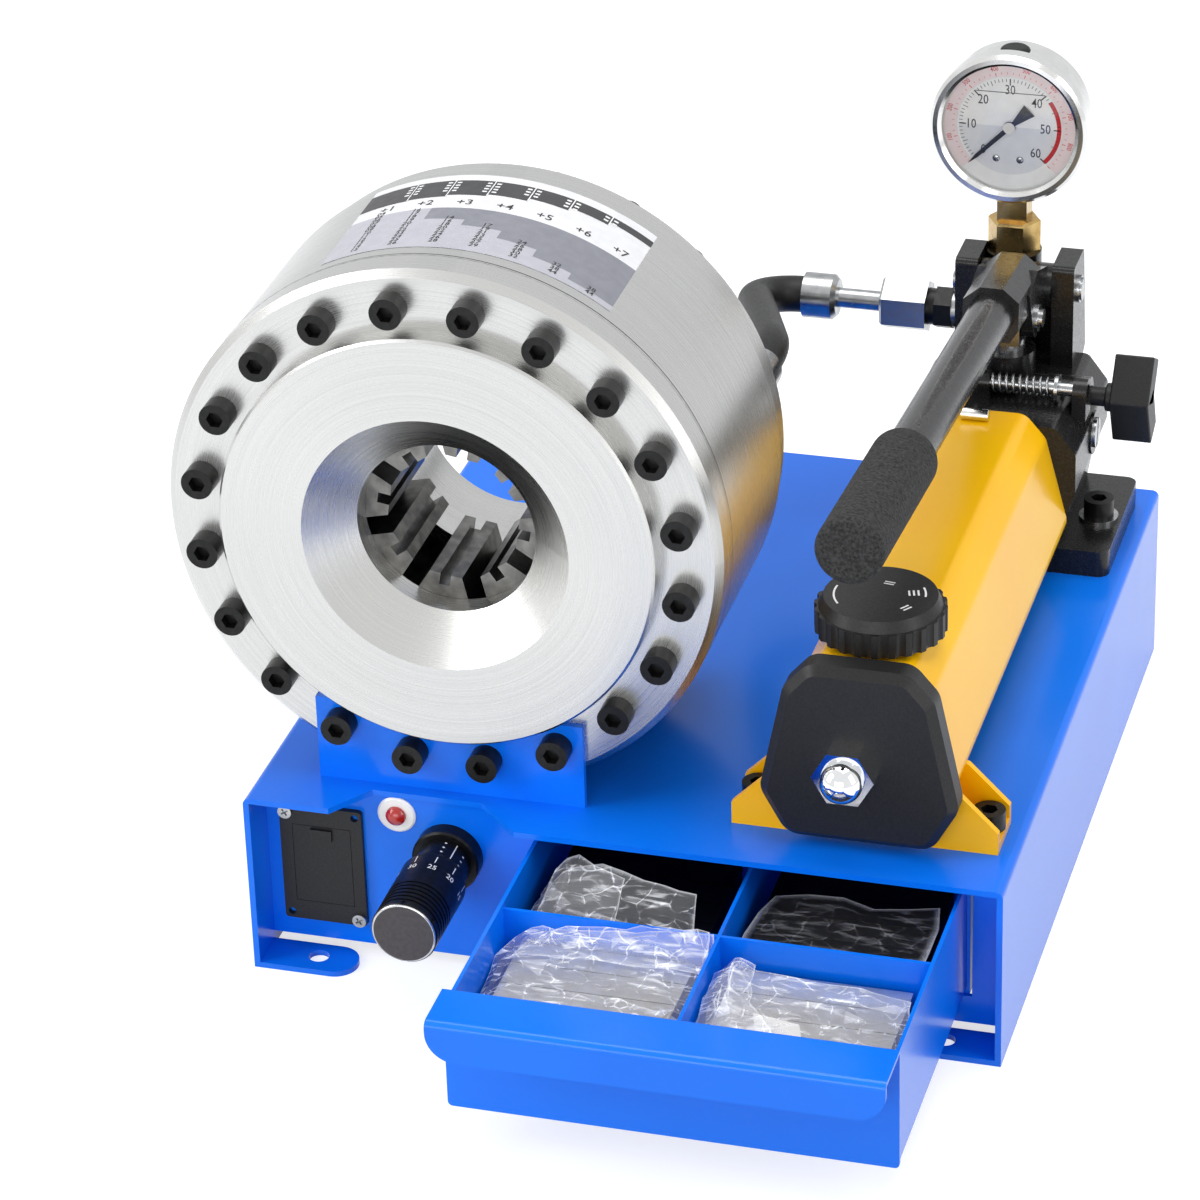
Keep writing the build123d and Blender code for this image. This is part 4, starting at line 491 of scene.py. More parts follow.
def figure(text, x, y, height, turn=0.0, bold=0.0):
    """A figure on the paper, centred on x, y, its capitals about this high."""
    bpy.ops.object.text_add(location=(x, y, 0), rotation=(0, 0, math.radians(turn)))
    made = bpy.context.object
    made.data.body = text
    made.data.size = height * 1.4
    made.data.align_x = "CENTER"
    made.data.align_y = "CENTER"
    made.data.offset = bold
    made.data.resolution_u = 2
    bpy.ops.object.convert(target="MESH")
    return bpy.context.object


def arc_band(radius, width, start, stop, steps=40):
    """A flat arc round the paper's centre, in degrees counter-clockwise from the right."""
    bpy.ops.mesh.primitive_plane_add(size=1)
    made = bpy.context.object
    bpy.ops.object.mode_set(mode="EDIT")
    bpy.ops.mesh.delete(type="ONLY_FACE")
    mesh = bmesh.from_edit_mesh(made.data)
    bmesh.ops.delete(mesh, geom=[v for v in mesh.verts if v.co.x < 0], context="VERTS")
    ends = sorted(mesh.verts, key=lambda v: v.co.y)
    for vert, reach in zip(ends, (radius - width / 2, radius + width / 2)):
        vert.co = (reach * math.cos(math.radians(start)), reach * math.sin(math.radians(start)), 0)
    bmesh.update_edit_mesh(made.data)
    bpy.ops.mesh.select_all(action="SELECT")
    bpy.ops.mesh.spin(steps=steps, angle=math.radians(start - stop), center=(0, 0, 0), axis=(0, 0, 1))
    bpy.ops.object.mode_set(mode="OBJECT")
    return made


def merge(pieces, name):
    """Joins pieces into one object at the origin with its place in its mesh."""
    bpy.ops.object.select_all(action="DESELECT")
    for piece in pieces:
        piece.select_set(True)
    bpy.context.view_layer.objects.active = pieces[0]
    if len(pieces) > 1:
        bpy.ops.object.join()
    joined = bpy.context.object
    bpy.ops.object.transform_apply(location=True, rotation=True, scale=True)
    joined.name = name
    bpy.ops.object.select_all(action="DESELECT")
    return joined


def face_up(piece):
    """Turns every face of a flat drawing to its upper side."""
    bpy.context.view_layer.objects.active = piece
    bpy.ops.object.mode_set(mode="EDIT")
    mesh = bmesh.from_edit_mesh(piece.data)
    bmesh.ops.reverse_faces(mesh, faces=[f for f in mesh.faces if f.normal.z < 0])
    bmesh.update_edit_mesh(piece.data)
    bpy.ops.object.mode_set(mode="OBJECT")
    return piece


def lay(piece, spot, material, body):
    """Moves each point of a drawing to its place with spot(x, y), gives it ink and lets it ride."""
    face_up(piece)
    for vert in piece.data.vertices:
        vert.co = spot(vert.co.x, vert.co.y)
    piece.data.update()
    piece.data.materials.clear()
    piece.data.materials.append(material)
    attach(piece, body)
    print(piece.name, len(piece.data.polygons), "faces on", body)
    return piece


print("drawing helpers ready")

# %% [markdown]
# ## The gauge face
# A 60 mm gauge is filled with glycerine, so a level line crosses the dial and the card looks
# greyer below it. The black scale runs from 0 to 60 over three quarters of a turn, the last
# third is marked red, and a finer red scale runs outside it.

# %% Scale of the gauge
GAUGE = Vector((89.7 * MM, 149.5 * MM, 258.5 * MM))
INK = 0.06 * MM


def on_dial(x, y, lift=INK):
    return (GAUGE.x + x * MM, GAUGE.y - lift, GAUGE.z + y * MM)


def dial_angle(value, full=60.0):
    return 225.0 - 270.0 * value / full


def polar(radius, degrees):
    """Place on the paper at a radius and an angle."""
    return radius * math.cos(math.radians(degrees)), radius * math.sin(math.radians(degrees))


def tick(value, outer, length, width, full=60.0):
    """A radial line of the scale that ends at its outer radius."""
    turn = dial_angle(value, full)
    return bar(*polar(outer - length / 2, turn), length, width, turn)


def narrow(piece):
    """Draws a figure together sideways, as condensed type is."""
    piece.scale.x = 0.76
    return piece


BLACK_REACH = {0: 16.0, 10: 16.8, 20: 16.4, 30: 16.8, 40: 16.4, 50: 15.4, 60: 16.0}
LEVEL_LINE = (0, 15.6, 30.0, 0.35)
black = []
for v in range(61):
    length, width = (3.0, 0.55) if v % 10 == 0 else (2.4, 0.26) if v % 5 == 0 else (1.5, 0.26)
    black.append(tick(v, 22.0, length, width))
for v, reach in BLACK_REACH.items():
    black.append(narrow(figure(str(v), *polar(reach, dial_angle(v)), 4.4, bold=0.018)))
black.append(bar(*LEVEL_LINE))
lay(merge(black, "dial_scale_black"), on_dial, INK_AND_SHADE_BLACK, "machine")

lay(merge([arc_band(25.75, 5.5, -45, 225, 90)], "dial_tint_band"), lambda x, y: on_dial(x, y, INK / 3),
    even("pale_rose_printing_ink", "#F3E3E3", 0.45, "#EFDDDD"), "machine")
red = [arc_band(21.4, 1.9, -45, 36)]
for v in range(0, 91, 2):
    red.append(tick(v, 25.0, *((1.6, 0.3) if v % 10 == 0 else (1.0, 0.18)), 90.0))
for v in range(1, 9):
    turn = dial_angle(v * 10, 90.0)
    red.append(narrow(figure(str(v * 100), *polar(26.8, turn), 2.2, turn=turn - 90, bold=0.01)))
lay(merge(red, "dial_scale_red"), on_dial, PRINT_RED, "machine")
lay(merge([arc_band(22.8, 0.4, -45, 225, 90)], "dial_ring"), on_dial, PRINT_WHITE, "machine")

# %% Lower half of the dial, its two screws and the hub
lay(merge([arc_band(11.0, 22.0, 180, 360, 60)], "dial_lower_tone"), lambda x, y: on_dial(x, y, INK / 4),
    even("cool_grey_dial_lacquer", "#E2E4E6", 0.45, "#DCDEE1"), "machine")


SCREW_R, SCREW_RISE, SCREW_FOOT, SLOT_WIDTH = 1.6, 0.5, 0.1, 0.35


def dial_screw(name, x, y):
    """A low domed screw head on the dial, its slot drawn on top as a black line of painted shade."""
    bpy.ops.mesh.primitive_uv_sphere_add(segments=24, ring_count=12, radius=SCREW_R)
    head = bpy.context.object
    head.name = name
    for vert in head.data.vertices:
        across, up, out = vert.co
        lift = SCREW_FOOT + max(out, -0.1) / SCREW_R * SCREW_RISE
        vert.co = (GAUGE.x + (x + across) * MM, GAUGE.y - lift * MM, GAUGE.z + (y + up) * MM)
    head.data.flip_normals()
    bpy.ops.object.shade_smooth()
    head.data.materials.append(ZINC)
    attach(head, "machine")
    # Painted shade: the slot is a black bar laid on the head, not a cut.
    slot = merge([bar(x, y, SCREW_R * 1.7, SLOT_WIDTH, 35)], name + "_slot")
    lay(slot, lambda u, v: on_dial(u, v, (SCREW_FOOT + SCREW_RISE + 0.05) * MM), INK_AND_SHADE_BLACK, "machine")


dial_screw("dial_screw_left", -5.7, -14.9)
dial_screw("dial_screw_right", 4.6, -15.0)

# %% Hub cap and vent plug of the gauge
HUB_R = 2.6
PLUG_WIDE, PLUG_LONG, PLUG_RISE, PLUG_Y = 6.5, 5.2, 1.3, 160.0
hub_deep = (GAUGE.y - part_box("gauge_needle")[0][1]) / MM
bpy.ops.mesh.primitive_circle_add(vertices=32, radius=HUB_R, fill_type="NGON")
lay(merge([bpy.context.object], "needle_hub"), lambda x, y: on_dial(x, y, (hub_deep + 0.05) * MM),
    even("bright_hub_lacquer", "#E6E4DC", 0.3, "#DAD8D0"), "needle")
case_low, case_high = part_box("gauge_case")
case_r = (case_high[0] - case_low[0]) / 2
bpy.ops.mesh.primitive_uv_sphere_add(segments=32, ring_count=16, radius=1)
plug = bpy.context.object
plug.name = "vent_plug"
for vert in plug.data.vertices:
    side, fore, up = vert.co
    arc = side * PLUG_WIDE * MM / case_r
    reach = case_r + max(-0.4, min(1.0, up * 1.6)) * PLUG_RISE * MM
    vert.co = (GAUGE.x + reach * math.sin(arc), (PLUG_Y + fore * PLUG_LONG) * MM,
               GAUGE.z + reach * math.cos(arc))
bpy.ops.object.shade_smooth()
plug.data.materials.append(RUBBER)
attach(plug, "machine")
print("hub", round(hub_deep, 2), "mm off the dial; case radius", round(case_r / MM, 2), "mm")

# %% [markdown]
# ## The chart on the barrel
# A film chart for choosing dies is stuck over the top of the barrel, running down both sides.
# It is a pale film with a dark header, a light table and a stepped grey field. Here it keeps
# that layout with plain figures only. The flat drawing is rolled round the barrel: one
# degree of the barrel is just under 2 mm of film.

# %% Rolling a drawing round the barrel
BARREL_R = 112.7
DEGREE = math.radians(BARREL_R)
COLUMNS = [110.3 - 8.3 * k for k in range(7)]
CHART_LEFT, CHART_RIGHT = 117.0, 55.2
CHART_FRONT, CHART_REAR = -120.5, -51.5
TABLE_REAR, HEADER_REAR = -83.5, -57.0


def on_barrel(lift):
    def spot(x, y):
        angle = math.radians(90 - x / DEGREE)
        reach = (BARREL_R + lift) * MM
        return (HEAD_AXIS[0] + reach * math.cos(angle), y * MM, HEAD_AXIS[2] + reach * math.sin(angle))
    return spot


def field(left, right, front, rear):
    """A flat patch between two barrel angles, cut into strips so that it can bend."""
    x0, x1 = (90 - left) * DEGREE, (90 - right) * DEGREE
    patch = bar((x0 + x1) / 2, (front + rear) / 2, x1 - x0, rear - front)
    bpy.ops.object.mode_set(mode="EDIT")
    bpy.ops.mesh.subdivide(number_cuts=max(2, round((left - right) / 1.5)))
    bpy.ops.object.mode_set(mode="OBJECT")
    return patch


lay(merge([field(CHART_LEFT, CHART_RIGHT, CHART_FRONT, CHART_REAR)], "chart_film"), on_barrel(0.05),
    even("white_chart_film", "#E2E2E4", 0.35, "#DADADC"), "machine")
lay(merge([field(CHART_LEFT, CHART_RIGHT, CHART_FRONT, TABLE_REAR)], "chart_table"), on_barrel(0.09),
    even("light_grey_film_ink", "#B4B4BC", 0.4, "#AEAEB6"), "machine")

STEP_ANGLES = [98.9, 90.4, 82.1, 73.8, 65.5, CHART_RIGHT]
STEP_FRONTS = [-94.0, -99.0, -105.5, -111.5, -116.5]
steps = [field(left, right, front, TABLE_REAR) for left, right, front in
         zip(STEP_ANGLES, STEP_ANGLES[1:], STEP_FRONTS)]
lay(merge(steps, "chart_steps"), on_barrel(0.12),
    even("mid_grey_film_ink", "#83848D", 0.4, "#7C7D86"), "machine")

HEADER_FRONTS = [-73.0, -72.4, -71.0, -69.4, -67.0, -64.4, -61.7]
header_edges = [CHART_LEFT] + [c - 4.15 for c in COLUMNS[:-1]] + [CHART_RIGHT]
header = [field(left, right, front, HEADER_REAR) for left, right, front in
          zip(header_edges, header_edges[1:], HEADER_FRONTS)]
lay(merge(header, "chart_header"), on_barrel(0.12),
    even("dark_grey_film_ink", "#333336", 0.4, "#2C2C2F"), "machine")

# %% Figures of the chart
# each column: how many rows, where the first stands, and its lowest figure
TABLE = [(12, -117.0, 4), (11, -117.0, 16), (8, -116.0, 14), (7, -116.5, 17), (5, -117.5, 24),
         (3, -118.0, 32), (2, -119.0, 38)]
ROW_PITCH = 3.1
chart_figures = []
for k, (angle, (rows, front, first)) in enumerate(zip(COLUMNS, TABLE)):
    x = (90 - angle) * DEGREE
    for row in range(rows):
        value = first + (rows - 1 - row) * (1 if rows > 8 else 2 if rows > 3 else 6)
        chart_figures.append(figure("%02d" % value, x, front + ROW_PITCH * row + 1.5, 2.7, bold=0.035))
    chart_figures.append(figure("+%d" % (k + 1), x + 1.5, -78.0, 4.6, bold=0.03))
lay(merge(chart_figures, "chart_figures"), on_barrel(0.16), INK_AND_SHADE_BLACK, "machine")

dots = []
for k, angle in enumerate(header_edges[1:-1]):
    for side in (-1.9, 1.9):
        for row in range(4 if k < 3 else 3 if k < 5 else 2):
            dots.append(bar((90 - angle) * DEGREE + side, -59.2 - 2.6 * row, 1.9, 1.2))
    front = HEADER_FRONTS[k]
    dots.append(bar((90 - angle) * DEGREE, (front + HEADER_REAR) / 2, 0.5, HEADER_REAR - front))
lay(merge(dots, "chart_header_dots"), on_barrel(0.16), PRINT_WHITE, "machine")

# %% [markdown]
# ## Marks of the depth stop and the filler cap
# The depth stop is a small micrometer: a line with ticks along the sleeve, and lines with
# figures round the edge of the thimble. The filler cap has two white arcs near its rim.

# %% Depth-stop scale
STOP = (-75.0, 54.0)
SLEEVE_R, THIMBLE_R, STOP_INK = 11.0, 13.6, 0.04


def on_stop(radius, about):
    """Rolls a drawing round the depth stop: x runs round it, y along it towards the operator."""
    def spot(x, y):
        angle = math.radians(about) + x / radius
        return ((STOP[0] + radius * math.cos(angle)) * MM, -y * MM, (STOP[1] + radius * math.sin(angle)) * MM)
    return spot


line = [bar(0, 165.3, 0.45, 12.4)]
for k in range(6):
    side, y = -1 if k % 2 else 1, 160.6 + 1.6 * k
    line += [bar(side * 2.1, y, 4.2, 0.35), bar(side * 4.6, y, 0.8, 0.8)]
lay(merge(line, "stop_scale"), on_stop(SLEEVE_R + STOP_INK, 57.0), PRINT_WHITE, "machine")
rim = []
for k in range(10):
    x = 36.0 * (k - 5) * math.radians(THIMBLE_R)
    rim += [bar(x, 177.2, 0.4, 4.2), figure("%d" % (k * 5), x, 182.6, 2.8, turn=180, bold=0.02)]
lay(merge(rim, "thimble_scale"), on_stop(THIMBLE_R + STOP_INK, 77.0), PRINT_WHITE, "thimble")

# %% Filler cap marks
CAP = (94.0, -114.0, 174.06)


def on_cap(x, y):
    return ((CAP[0] + x) * MM, (CAP[1] + y) * MM, CAP[2] * MM)


cap_marks = [arc_band(18.3, 0.8, 170, 217), arc_band(17.4, 0.8, 5, 30)]
for turn, reach in ((16, 11.0), (16, 12.8), (16, 14.6), (82, 8.6), (82, 10.2), (-36, 13.8), (-36, 15.6)):
    cap_marks.append(bar(*polar(reach, turn), 0.8, 4.2, turn))
lay(merge(cap_marks, "filler_cap_marks"), on_cap, PRINT_WHITE, "filler")

# %% [markdown]
# ## The end of the depth stop, the seam of the head
# The thimble's end is matt with a thin bright metal rim, a painted highlight along its edge.
# Where the front flange meets the barrel a bevel catches the light beside a fine dark line of painted shade.

# %% Rim and end face of the thimble
def ring_on_axis(name, centre, profile, material, body, sides):
    """A turned ring: an (along Y, radius) profile in mm spun round an axis along Y."""
    bpy.ops.mesh.primitive_plane_add(size=1)
    ring = bpy.context.object
    ring.name = name
    bpy.ops.object.mode_set(mode="EDIT")
    bpy.ops.mesh.delete(type="VERT")
    mesh = bmesh.from_edit_mesh(ring.data)
    dots = [mesh.verts.new((centre[0] * MM, y * MM, (centre[1] + r) * MM)) for y, r in profile]
    for one, two in zip(dots, dots[1:]):
        mesh.edges.new((one, two))
    bmesh.update_edit_mesh(ring.data)
    bpy.ops.mesh.select_all(action="SELECT")
    bpy.ops.mesh.spin(steps=sides, angle=math.radians(360), axis=(0, 1, 0),
                      center=(centre[0] * MM, 0, centre[1] * MM))
    bpy.ops.mesh.select_all(action="SELECT")
    bpy.ops.mesh.remove_doubles(threshold=0.00001)
    bpy.ops.mesh.normals_make_consistent(inside=False)
    bpy.ops.object.mode_set(mode="OBJECT")
    bpy.ops.object.shade_smooth()
    ring.data.materials.append(material)
    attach(ring, body)
    print(name, len(ring.data.polygons), "faces")


END_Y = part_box("scale_thimble")[0][1] / MM
RIM_HIGHLIGHT_METAL = plated("bright_rim_painted_highlight", "#C6C7C9", "#AEB0B2", 0.22, grain=0.003)
MATT_END = grained_black("matt_anodised_end", "#4B4748", "#423F40", 0.5, 0.002, 0.08)
END_PROFILE = [(END_Y - 0.04, 0.0), (END_Y - 0.04, 12.4)]
RIM_PROFILE = [(END_Y - 0.05, 12.4), (END_Y - 0.05, 12.62), (END_Y + 0.42, 13.09)]
ring_on_axis("thimble_end_face", STOP, END_PROFILE, MATT_END, "thimble", 128)
# Painted highlight: a bright metal ring stands for the light along the thimble's edge.
ring_on_axis("thimble_highlight_rim", STOP, RIM_PROFILE, RIM_HIGHLIGHT_METAL, "thimble", 128)

# %% Seam between flange and barrel
SEAM = -127.5
HEAD = (HEAD_AXIS[0] / MM, HEAD_AXIS[2] / MM)
# Painted shade: a black ring on the barrel just behind the seam, for the dark of its groove.
ring_on_axis("seam_shadow", HEAD, [(SEAM + 1.0, 112.77), (SEAM, 112.77)], INK_AND_SHADE_BLACK, "machine", 180)
ring_on_axis("seam_bevel", HEAD, [(SEAM, 112.8), (SEAM - 0.9, 113.04)], CHROME, "machine", 180)

# %% [markdown]
# ## The winged release knob and the rear washers
# The release knob is moulded with two wings that meet in a ridge at the front and both lean back,
# on a round stem. The rear foot screws stand on bright washers, and a short steel pin lies on the tank.

# %% Release knob
VALVE = (124.0, 148.0)
WING_X = (141.0, 158.0)
UPPER_WING = [(-8, 1), (5, -4), (17, 12), (6, 18)]
LOWER_WING = [(-8, 1), (3, -22), (15, -17), (6, 4)]


def prism(outline, x0, x1, edge):
    """A moulded block: a (Y, Z) outline round the valve, drawn out along X, its edges rounded."""
    bpy.ops.mesh.primitive_circle_add(vertices=len(outline), radius=1, fill_type="NGON")
    made = bpy.context.object
    for vert, (y, z) in zip(made.data.vertices, outline):
        vert.co = (x0 * MM, (VALVE[0] + y) * MM, (VALVE[1] + z) * MM)
    bpy.ops.object.mode_set(mode="EDIT")
    bpy.ops.mesh.select_all(action="SELECT")
    bpy.ops.mesh.extrude_region_move(TRANSFORM_OT_translate={"value": ((x1 - x0) * MM, 0, 0)})
    bpy.ops.mesh.select_all(action="SELECT")
    bpy.ops.mesh.normals_make_consistent(inside=False)
    bpy.ops.mesh.bevel(offset=edge * MM, segments=3)
    bpy.ops.object.mode_set(mode="OBJECT")
    return made


def round_bar(x0, x1, radius, y, z, edge=0.3):
    """A round bar along X with rounded ends, place in mm."""
    bpy.ops.mesh.primitive_cylinder_add(
        vertices=48, radius=radius * MM, depth=(x1 - x0) * MM, rotation=(0, math.radians(90), 0),
        location=((x0 + x1) / 2 * MM, y * MM, z * MM))
    made = bpy.context.object
    bpy.ops.object.transform_apply(location=True, rotation=True, scale=True)
    bpy.ops.object.mode_set(mode="EDIT")
    mesh = bmesh.from_edit_mesh(made.data)
    for line in mesh.edges:
        line.select_set(abs(line.verts[0].co.x - line.verts[1].co.x) < 1e-6)
    bmesh.update_edit_mesh(made.data)
    bpy.ops.mesh.bevel(offset=edge * MM, segments=2)
    bpy.ops.object.mode_set(mode="OBJECT")
    return made


stem = round_bar(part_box("release_knob")[0][0] / MM, WING_X[0] + 4, 4.25, *VALVE)
collar = round_bar(WING_X[0] - 2.5, WING_X[0] + 5, 6.2, *VALVE, edge=0.8)
knob = merge([prism(UPPER_WING, *WING_X, 0.7), prism(LOWER_WING, *WING_X, 0.7), stem, collar], "winged_knob")
knob.data.materials.append(PLASTIC)
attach(knob, "release")
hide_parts("release_knob")
print("knob", len(knob.data.polygons), "faces")

# %% Washers under the rear screws, pin on the tank
WASHER_Y, WASHER_Z, TANK_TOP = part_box("foot_bolts")[1][1] / MM - 8.5, 92.5, 157.5
WASHER_R, WASHER_HOLE, WASHER_THICK = 8.52, 6.55, 1.64
PIN_R = 2.6
for name, x in (("rear_washer_left", 51.5), ("rear_washer_right", 137.5)):
    foot = (x * MM, WASHER_Y * MM, WASHER_Z * MM)
    bpy.ops.mesh.primitive_circle_add(vertices=64, radius=WASHER_R * MM, location=foot)
    washer = bpy.context.object
    washer.name = name
    bpy.ops.object.mode_set(mode="EDIT")
    bpy.ops.mesh.select_all(action="SELECT")
    bpy.ops.mesh.extrude_edges_move(TRANSFORM_OT_translate={"value": (0, 0, WASHER_THICK * MM)})
    bpy.ops.mesh.extrude_edges_move()
    bpy.ops.transform.resize(value=(WASHER_HOLE / WASHER_R, WASHER_HOLE / WASHER_R, 1),
                             center_override=foot)
    bpy.ops.mesh.select_all(action="SELECT")
    bpy.ops.mesh.normals_make_consistent(inside=False)
    bpy.ops.object.mode_set(mode="OBJECT")
    bpy.ops.object.transform_apply(location=True, rotation=True, scale=True)
    washer.data.materials.append(ZINC)
    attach(washer, "machine")
pin = merge([round_bar(86.0, 98.0, PIN_R, 72.0, TANK_TOP + PIN_R)], "tank_pin")
pin.data.materials.append(STAINLESS)
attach(pin, "machine")
print("washers at y", round(WASHER_Y, 2), "and a pin on the tank")

# %% [markdown]
# ## Film bags on the spare dies
# The spare dies lie in bags of clear film that crumple at the ends. Each bag is a net of points
# taken from the photograph's outline, cut into facets of about a centimetre that lean at random.
# Every edge between two facets keeps a mark of how sharply it folds, and the film turns milky
# there, partly as real film whitens at a crease and partly as a painted highlight. A few facets
# and fine streaks are painted highlights, and a web of thin crease lines is partly real
# whitening and partly painted highlight.

# %% Film that whitens at its folds, with painted highlights
def bag_film(name, veil, streak):
    """Thin clear film: nearly see-through, white along folds and crease lines (partly real whitening, partly
    painted highlight), and white on a few facets and in fine streaks as painted highlights.
    """
    material, tree, main, place = finish(name, Base_Color=tint("#FBFCFF"), Roughness=0.12, IOR=1.5)
    fold = add(tree, "ShaderNodeAttribute", {"attribute_name": "fold"}).outputs["Fac"]
    # Painted highlight: the glint mark makes a few facets milky.
    glint = add(tree, "ShaderNodeAttribute", {"attribute_name": "glint"}).outputs["Fac"]
    sharp = add(tree, "ShaderNodeMath", {"operation": "POWER"}, in0=fold, in1=2.2).outputs[0]
    drawn = add(tree, "ShaderNodeVectorMath", {"operation": "MULTIPLY"},
                in0=place, in1=(70.0, 320.0, 150.0)).outputs[0]
    grain = add(tree, "ShaderNodeTexNoise", Vector=drawn, Scale=1.0, Detail=3.0,
                Distortion=0.8).outputs["Fac"]
    # Painted highlight: long fine streaks where the film turns milky, standing in for reflections.
    streaks = add(tree, "ShaderNodeMapRange", Value=grain, From_Min=0.54, From_Max=0.74,
                  To_Min=0.0, To_Max=streak).outputs["Result"]
    wander = add(tree, "ShaderNodeTexNoise", Vector=place, Scale=60.0, Detail=2.0).outputs["Color"]
    bent = add(tree, "ShaderNodeVectorMath", {"operation": "MULTIPLY_ADD"},
               in0=wander, in1=(0.012, 0.012, 0.012), in2=place).outputs[0]
    # A web of thin crease lines, partly real whitening and partly painted highlight.
    cells = add(tree, "ShaderNodeTexVoronoi", {"feature": "DISTANCE_TO_EDGE"},
                Vector=bent, Scale=95.0).outputs["Distance"]
    lines = add(tree, "ShaderNodeMapRange", Value=cells, From_Min=0.0, From_Max=0.035,
                To_Min=1.0, To_Max=0.0).outputs["Result"]
    patchy = add(tree, "ShaderNodeMapRange", Value=grain, From_Min=0.42, From_Max=0.6,
                 To_Min=0.0, To_Max=streak * 1.1).outputs["Result"]
    webbed = add(tree, "ShaderNodeMath", {"operation": "MULTIPLY"}, in0=lines, in1=patchy).outputs[0]
    milk_and_highlight = add(tree, "ShaderNodeMath", {"operation": "MULTIPLY_ADD"},
               in0=sharp, in1=0.8, in2=veil).outputs[0]
    for more in (glint, webbed, streaks):
        milk_and_highlight = add(tree, "ShaderNodeMath", {"operation": "ADD", "use_clamp": more is streaks},
                   in0=milk_and_highlight, in1=more).outputs[0]
    tree.links.new(milk_and_highlight, main.inputs["Alpha"])
    skin = add(tree, "ShaderNodeTexNoise", Vector=place, Scale=260.0, Detail=2.0).outputs["Fac"]
    bump = add(tree, "ShaderNodeBump", Strength=0.35, Distance=0.0006, Height=skin)
    tree.links.new(bump.outputs["Normal"], main.inputs["Normal"])
    return material


FILM = bag_film("clear_bag_film", 0.15, 0.6)
# The two rear films are the same clear film with less milk and fewer painted highlights: painted shade at the
# back of the drawer.
DEEP_SHADE_FILM = bag_film("clear_film_deep_painted_shade", 0.015, 0.12)
REAR_SHADE_FILM = bag_film("rear_bag_film", 0.09, 0.45)


def on_net(net, s, t):
    """Point of a net of rows at s across and t along, both from 0 to 1."""
    u, v = s * (len(net[0]) - 1), t * (len(net) - 1)
    i, j = min(int(u), len(net[0]) - 2), min(int(v), len(net) - 2)
    u, v = u - i, v - j
    near = Vector(net[j][i]).lerp(Vector(net[j][i + 1]), u)
    return near.lerp(Vector(net[j + 1][i]).lerp(Vector(net[j + 1][i + 1]), u), v)


def crumpled(net, seed, rise, facet=6.5, glints=0.02):
    """One layer of film over a net in mm, with the fold marks and the glint marks of painted highlight
    written on it.

    A fold counts from 0.2 rad and is full at 1.1; the film's own edge counts as 0.75.
    """
    rng = random.Random(seed)
    wide = (Vector(net[0][-1]) - Vector(net[0][0])).length
    deep = sum((Vector(b[0]) - Vector(a[0])).length for a, b in zip(net, net[1:]))
    cells = (max(3, round(wide / facet)), max(3, round(deep / facet)))
    bpy.ops.mesh.primitive_grid_add(x_subdivisions=cells[0], y_subdivisions=cells[1], size=1)
    layer = bpy.context.object
    mesh = bmesh.new()
    mesh.from_mesh(layer.data)
    for vert in mesh.verts:
        s, t = vert.co.x + 0.5, vert.co.y + 0.5
        if not vert.is_boundary:
            s, t = s + rng.uniform(-0.36, 0.36) / cells[0], t + rng.uniform(-0.36, 0.36) / cells[1]
        stray = Vector((rng.uniform(-0.6, 0.6), rng.uniform(-0.6, 0.6), rng.uniform(0, rise)))
        vert.co = on_net(net, s, t) + stray
    bmesh.ops.triangulate(mesh, faces=mesh.faces[:], quad_method="BEAUTY")
    kink, glint = mesh.edges.layers.float.new("kink"), mesh.faces.layers.float.new("glint")
    for edge in mesh.edges:
        bend = min(1.0, max(0.0, edge.calc_face_angle(0.0) - 0.2) / 0.9)
        edge[kink] = 0.75 if edge.is_boundary else bend
    # Painted highlight: a few facets get a glint mark that turns them milky.
    for face in mesh.faces:
        face[glint] = rng.uniform(0.1, 0.3) if rng.random() < glints else 0.0
    bmesh.ops.subdivide_edges(mesh, edges=mesh.edges[:], cuts=3, use_grid_fill=True)
    fold = mesh.verts.layers.float.new("fold")
    for vert in mesh.verts:
        vert[fold] = max((edge[kink] for edge in vert.link_edges), default=0.0)
        vert.co *= MM
    mesh.to_mesh(layer.data)
    mesh.free()
    return layer


def film_bag(name, layers, material):
    """Joins the layers of one bag, gives it its film and lets it ride in the drawer.

    The area of its crumpled faces is printed in square centimetres.
    """
    bag = merge(layers, name)
    bpy.context.view_layer.objects.active = bag
    bpy.ops.object.shade_flat()
    bag.data.materials.clear()
    bag.data.materials.append(material)
    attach(bag, "drawer_body")
    made = sum(p.area for p in bag.data.polygons)
    box = [[round(f(v.co[k] for v in bag.data.vertices) * 1000, 1) for k in range(3)] for f in (min, max)]
    print(name, len(bag.data.polygons), "faces,", round(made * 1e4), "cm2, box", box)


# %% The four bags
LEFT_NET = [[(-34, -268, 48), (-20, -268, 55), (5, -268, 55), (30, -268, 55), (47, -267, 50)],
            [(-34, -252, 50), (-25, -252, 57), (5, -252, 57), (32, -252, 57), (48, -251, 52)],
            [(-35, -235, 51), (-26, -235, 57), (5, -234, 57.5), (32, -234, 57), (48, -234, 53)],
            [(-35, -220, 53), (-26, -219, 57.5), (4, -218, 58), (32, -217, 58), (49, -218, 57)],
            [(-29, -211, 58), (-20, -210, 60), (5, -209, 61), (30, -209, 62), (48, -209, 64)],
            [(-24, -207, 60), (-10, -207, 63), (14, -207, 66), (32, -207, 69.5), (48, -207, 69.5)]]
UNDER = [[(x + 1.5, y + 0.4, z - 1.4) for x, y, z in row] for row in LEFT_NET[3:]]
film_bag("film_bag_front_left", [crumpled(LEFT_NET, 11, 1.8), crumpled(UNDER, 5, 1.2)],
         FILM)

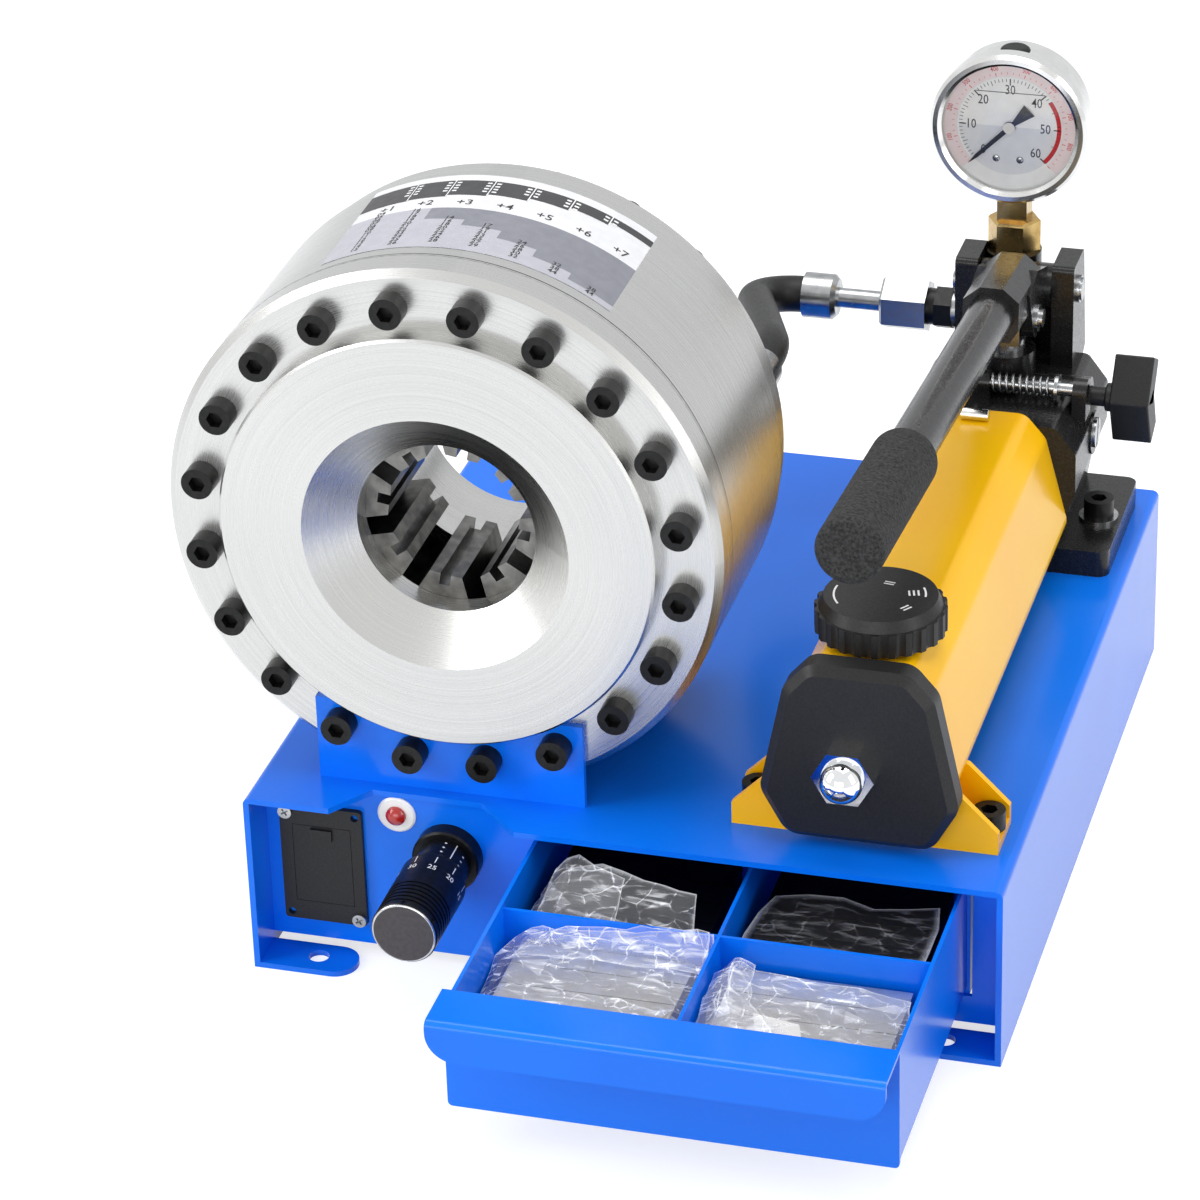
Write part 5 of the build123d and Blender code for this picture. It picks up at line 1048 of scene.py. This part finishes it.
RIGHT_NET = [[(53, -268, 50), (66, -268, 55), (84, -268, 56), (108, -268, 56), (133, -268, 52)],
             [(53, -254, 54), (64, -254, 58), (84, -254, 58), (110, -254, 57.5), (133, -254, 54)],
             [(53, -238, 57), (63, -238, 63), (72, -238, 59), (110, -238, 57.5), (132, -238, 55)],
             [(53, -226, 58), (60, -225, 65), (69, -226, 60), (110, -227, 58), (131, -228, 56)],
             [(54, -218, 58), (61, -216, 64), (68, -216, 61), (110, -218, 60), (130, -221, 58)]]
FLAP = [[(x, y, z + 1.2) for x, y, z in row[:3]] for row in RIGHT_NET]
film_bag("film_bag_front_right",
         [crumpled(RIGHT_NET, 23, 1.8), crumpled(FLAP, 8, 2.4, facet=6.0, glints=0.05)],
         FILM)

REAR_NET = [[(-31, -202, 56), (-24, -202, 57), (0, -202, 57), (20, -202, 57), (36, -202, 56.5)],
            [(-30, -194, 57), (-22, -193, 60), (-2, -190, 61), (20, -191, 59), (37, -192, 58)],
            [(-29, -186, 58), (-20, -183, 65), (-3, -181, 66), (20, -183, 64), (36, -184, 61)],
            [(-27, -180, 59), (-19, -172, 68), (-5, -170, 70), (18, -176, 68), (35, -178, 66)]]
CUFF = [[(x * 0.5 - 13, y + 3, z + 0.6) for x, y, z in row] for row in REAR_NET]
film_bag("film_bag_rear_left",
         [crumpled(REAR_NET, 31, 1.4), crumpled(CUFF, 44, 2.0, facet=6.0, glints=0.05)],
         REAR_SHADE_FILM)

BACK_NET = [[(56, -200, 57), (80, -200, 57), (104, -200, 57), (128, -200, 57)],
            [(56, -186, 57), (80, -184, 58), (104, -183, 58), (129, -186, 57)],
            [(58, -170, 57.5), (80, -168, 60), (104, -170, 57.5), (129, -168, 58)],
            [(62, -158, 58), (84, -157, 61), (106, -160, 58), (127, -156, 61)]]
film_bag("film_bag_rear_right", [crumpled(BACK_NET, 57, 0.9, facet=14.0, glints=0.0)],
         DEEP_SHADE_FILM)

# %% Blank paper slip in the right-hand bag
SLIP_AT, SLIP_WIDE, SLIP_LONG, SLIP_SKEW = (85.0, -249.0, 58.0), 19, 12, 4
bpy.ops.mesh.primitive_grid_add(x_subdivisions=16, y_subdivisions=10, size=1)
slip = bpy.context.object
slip.name = "paper_slip"
for vert in slip.data.vertices:
    u, v = vert.co.x, vert.co.y
    curl = 1.6 * u * u + 1.2 * math.sin(3.0 * v + 2.0 * u)
    vert.co = ((SLIP_AT[0] + SLIP_WIDE * u - SLIP_SKEW * v) * MM,
               (SLIP_AT[1] + SLIP_LONG * v - SLIP_SKEW * u) * MM, (SLIP_AT[2] + curl) * MM)
bpy.ops.object.shade_smooth()
slip.data.materials.append(even("blank_label_paper", "#DEDCD8", 0.7, "#D2D0CC"))
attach(slip, "drawer_body")
bpy.ops.object.select_all(action="DESELECT")
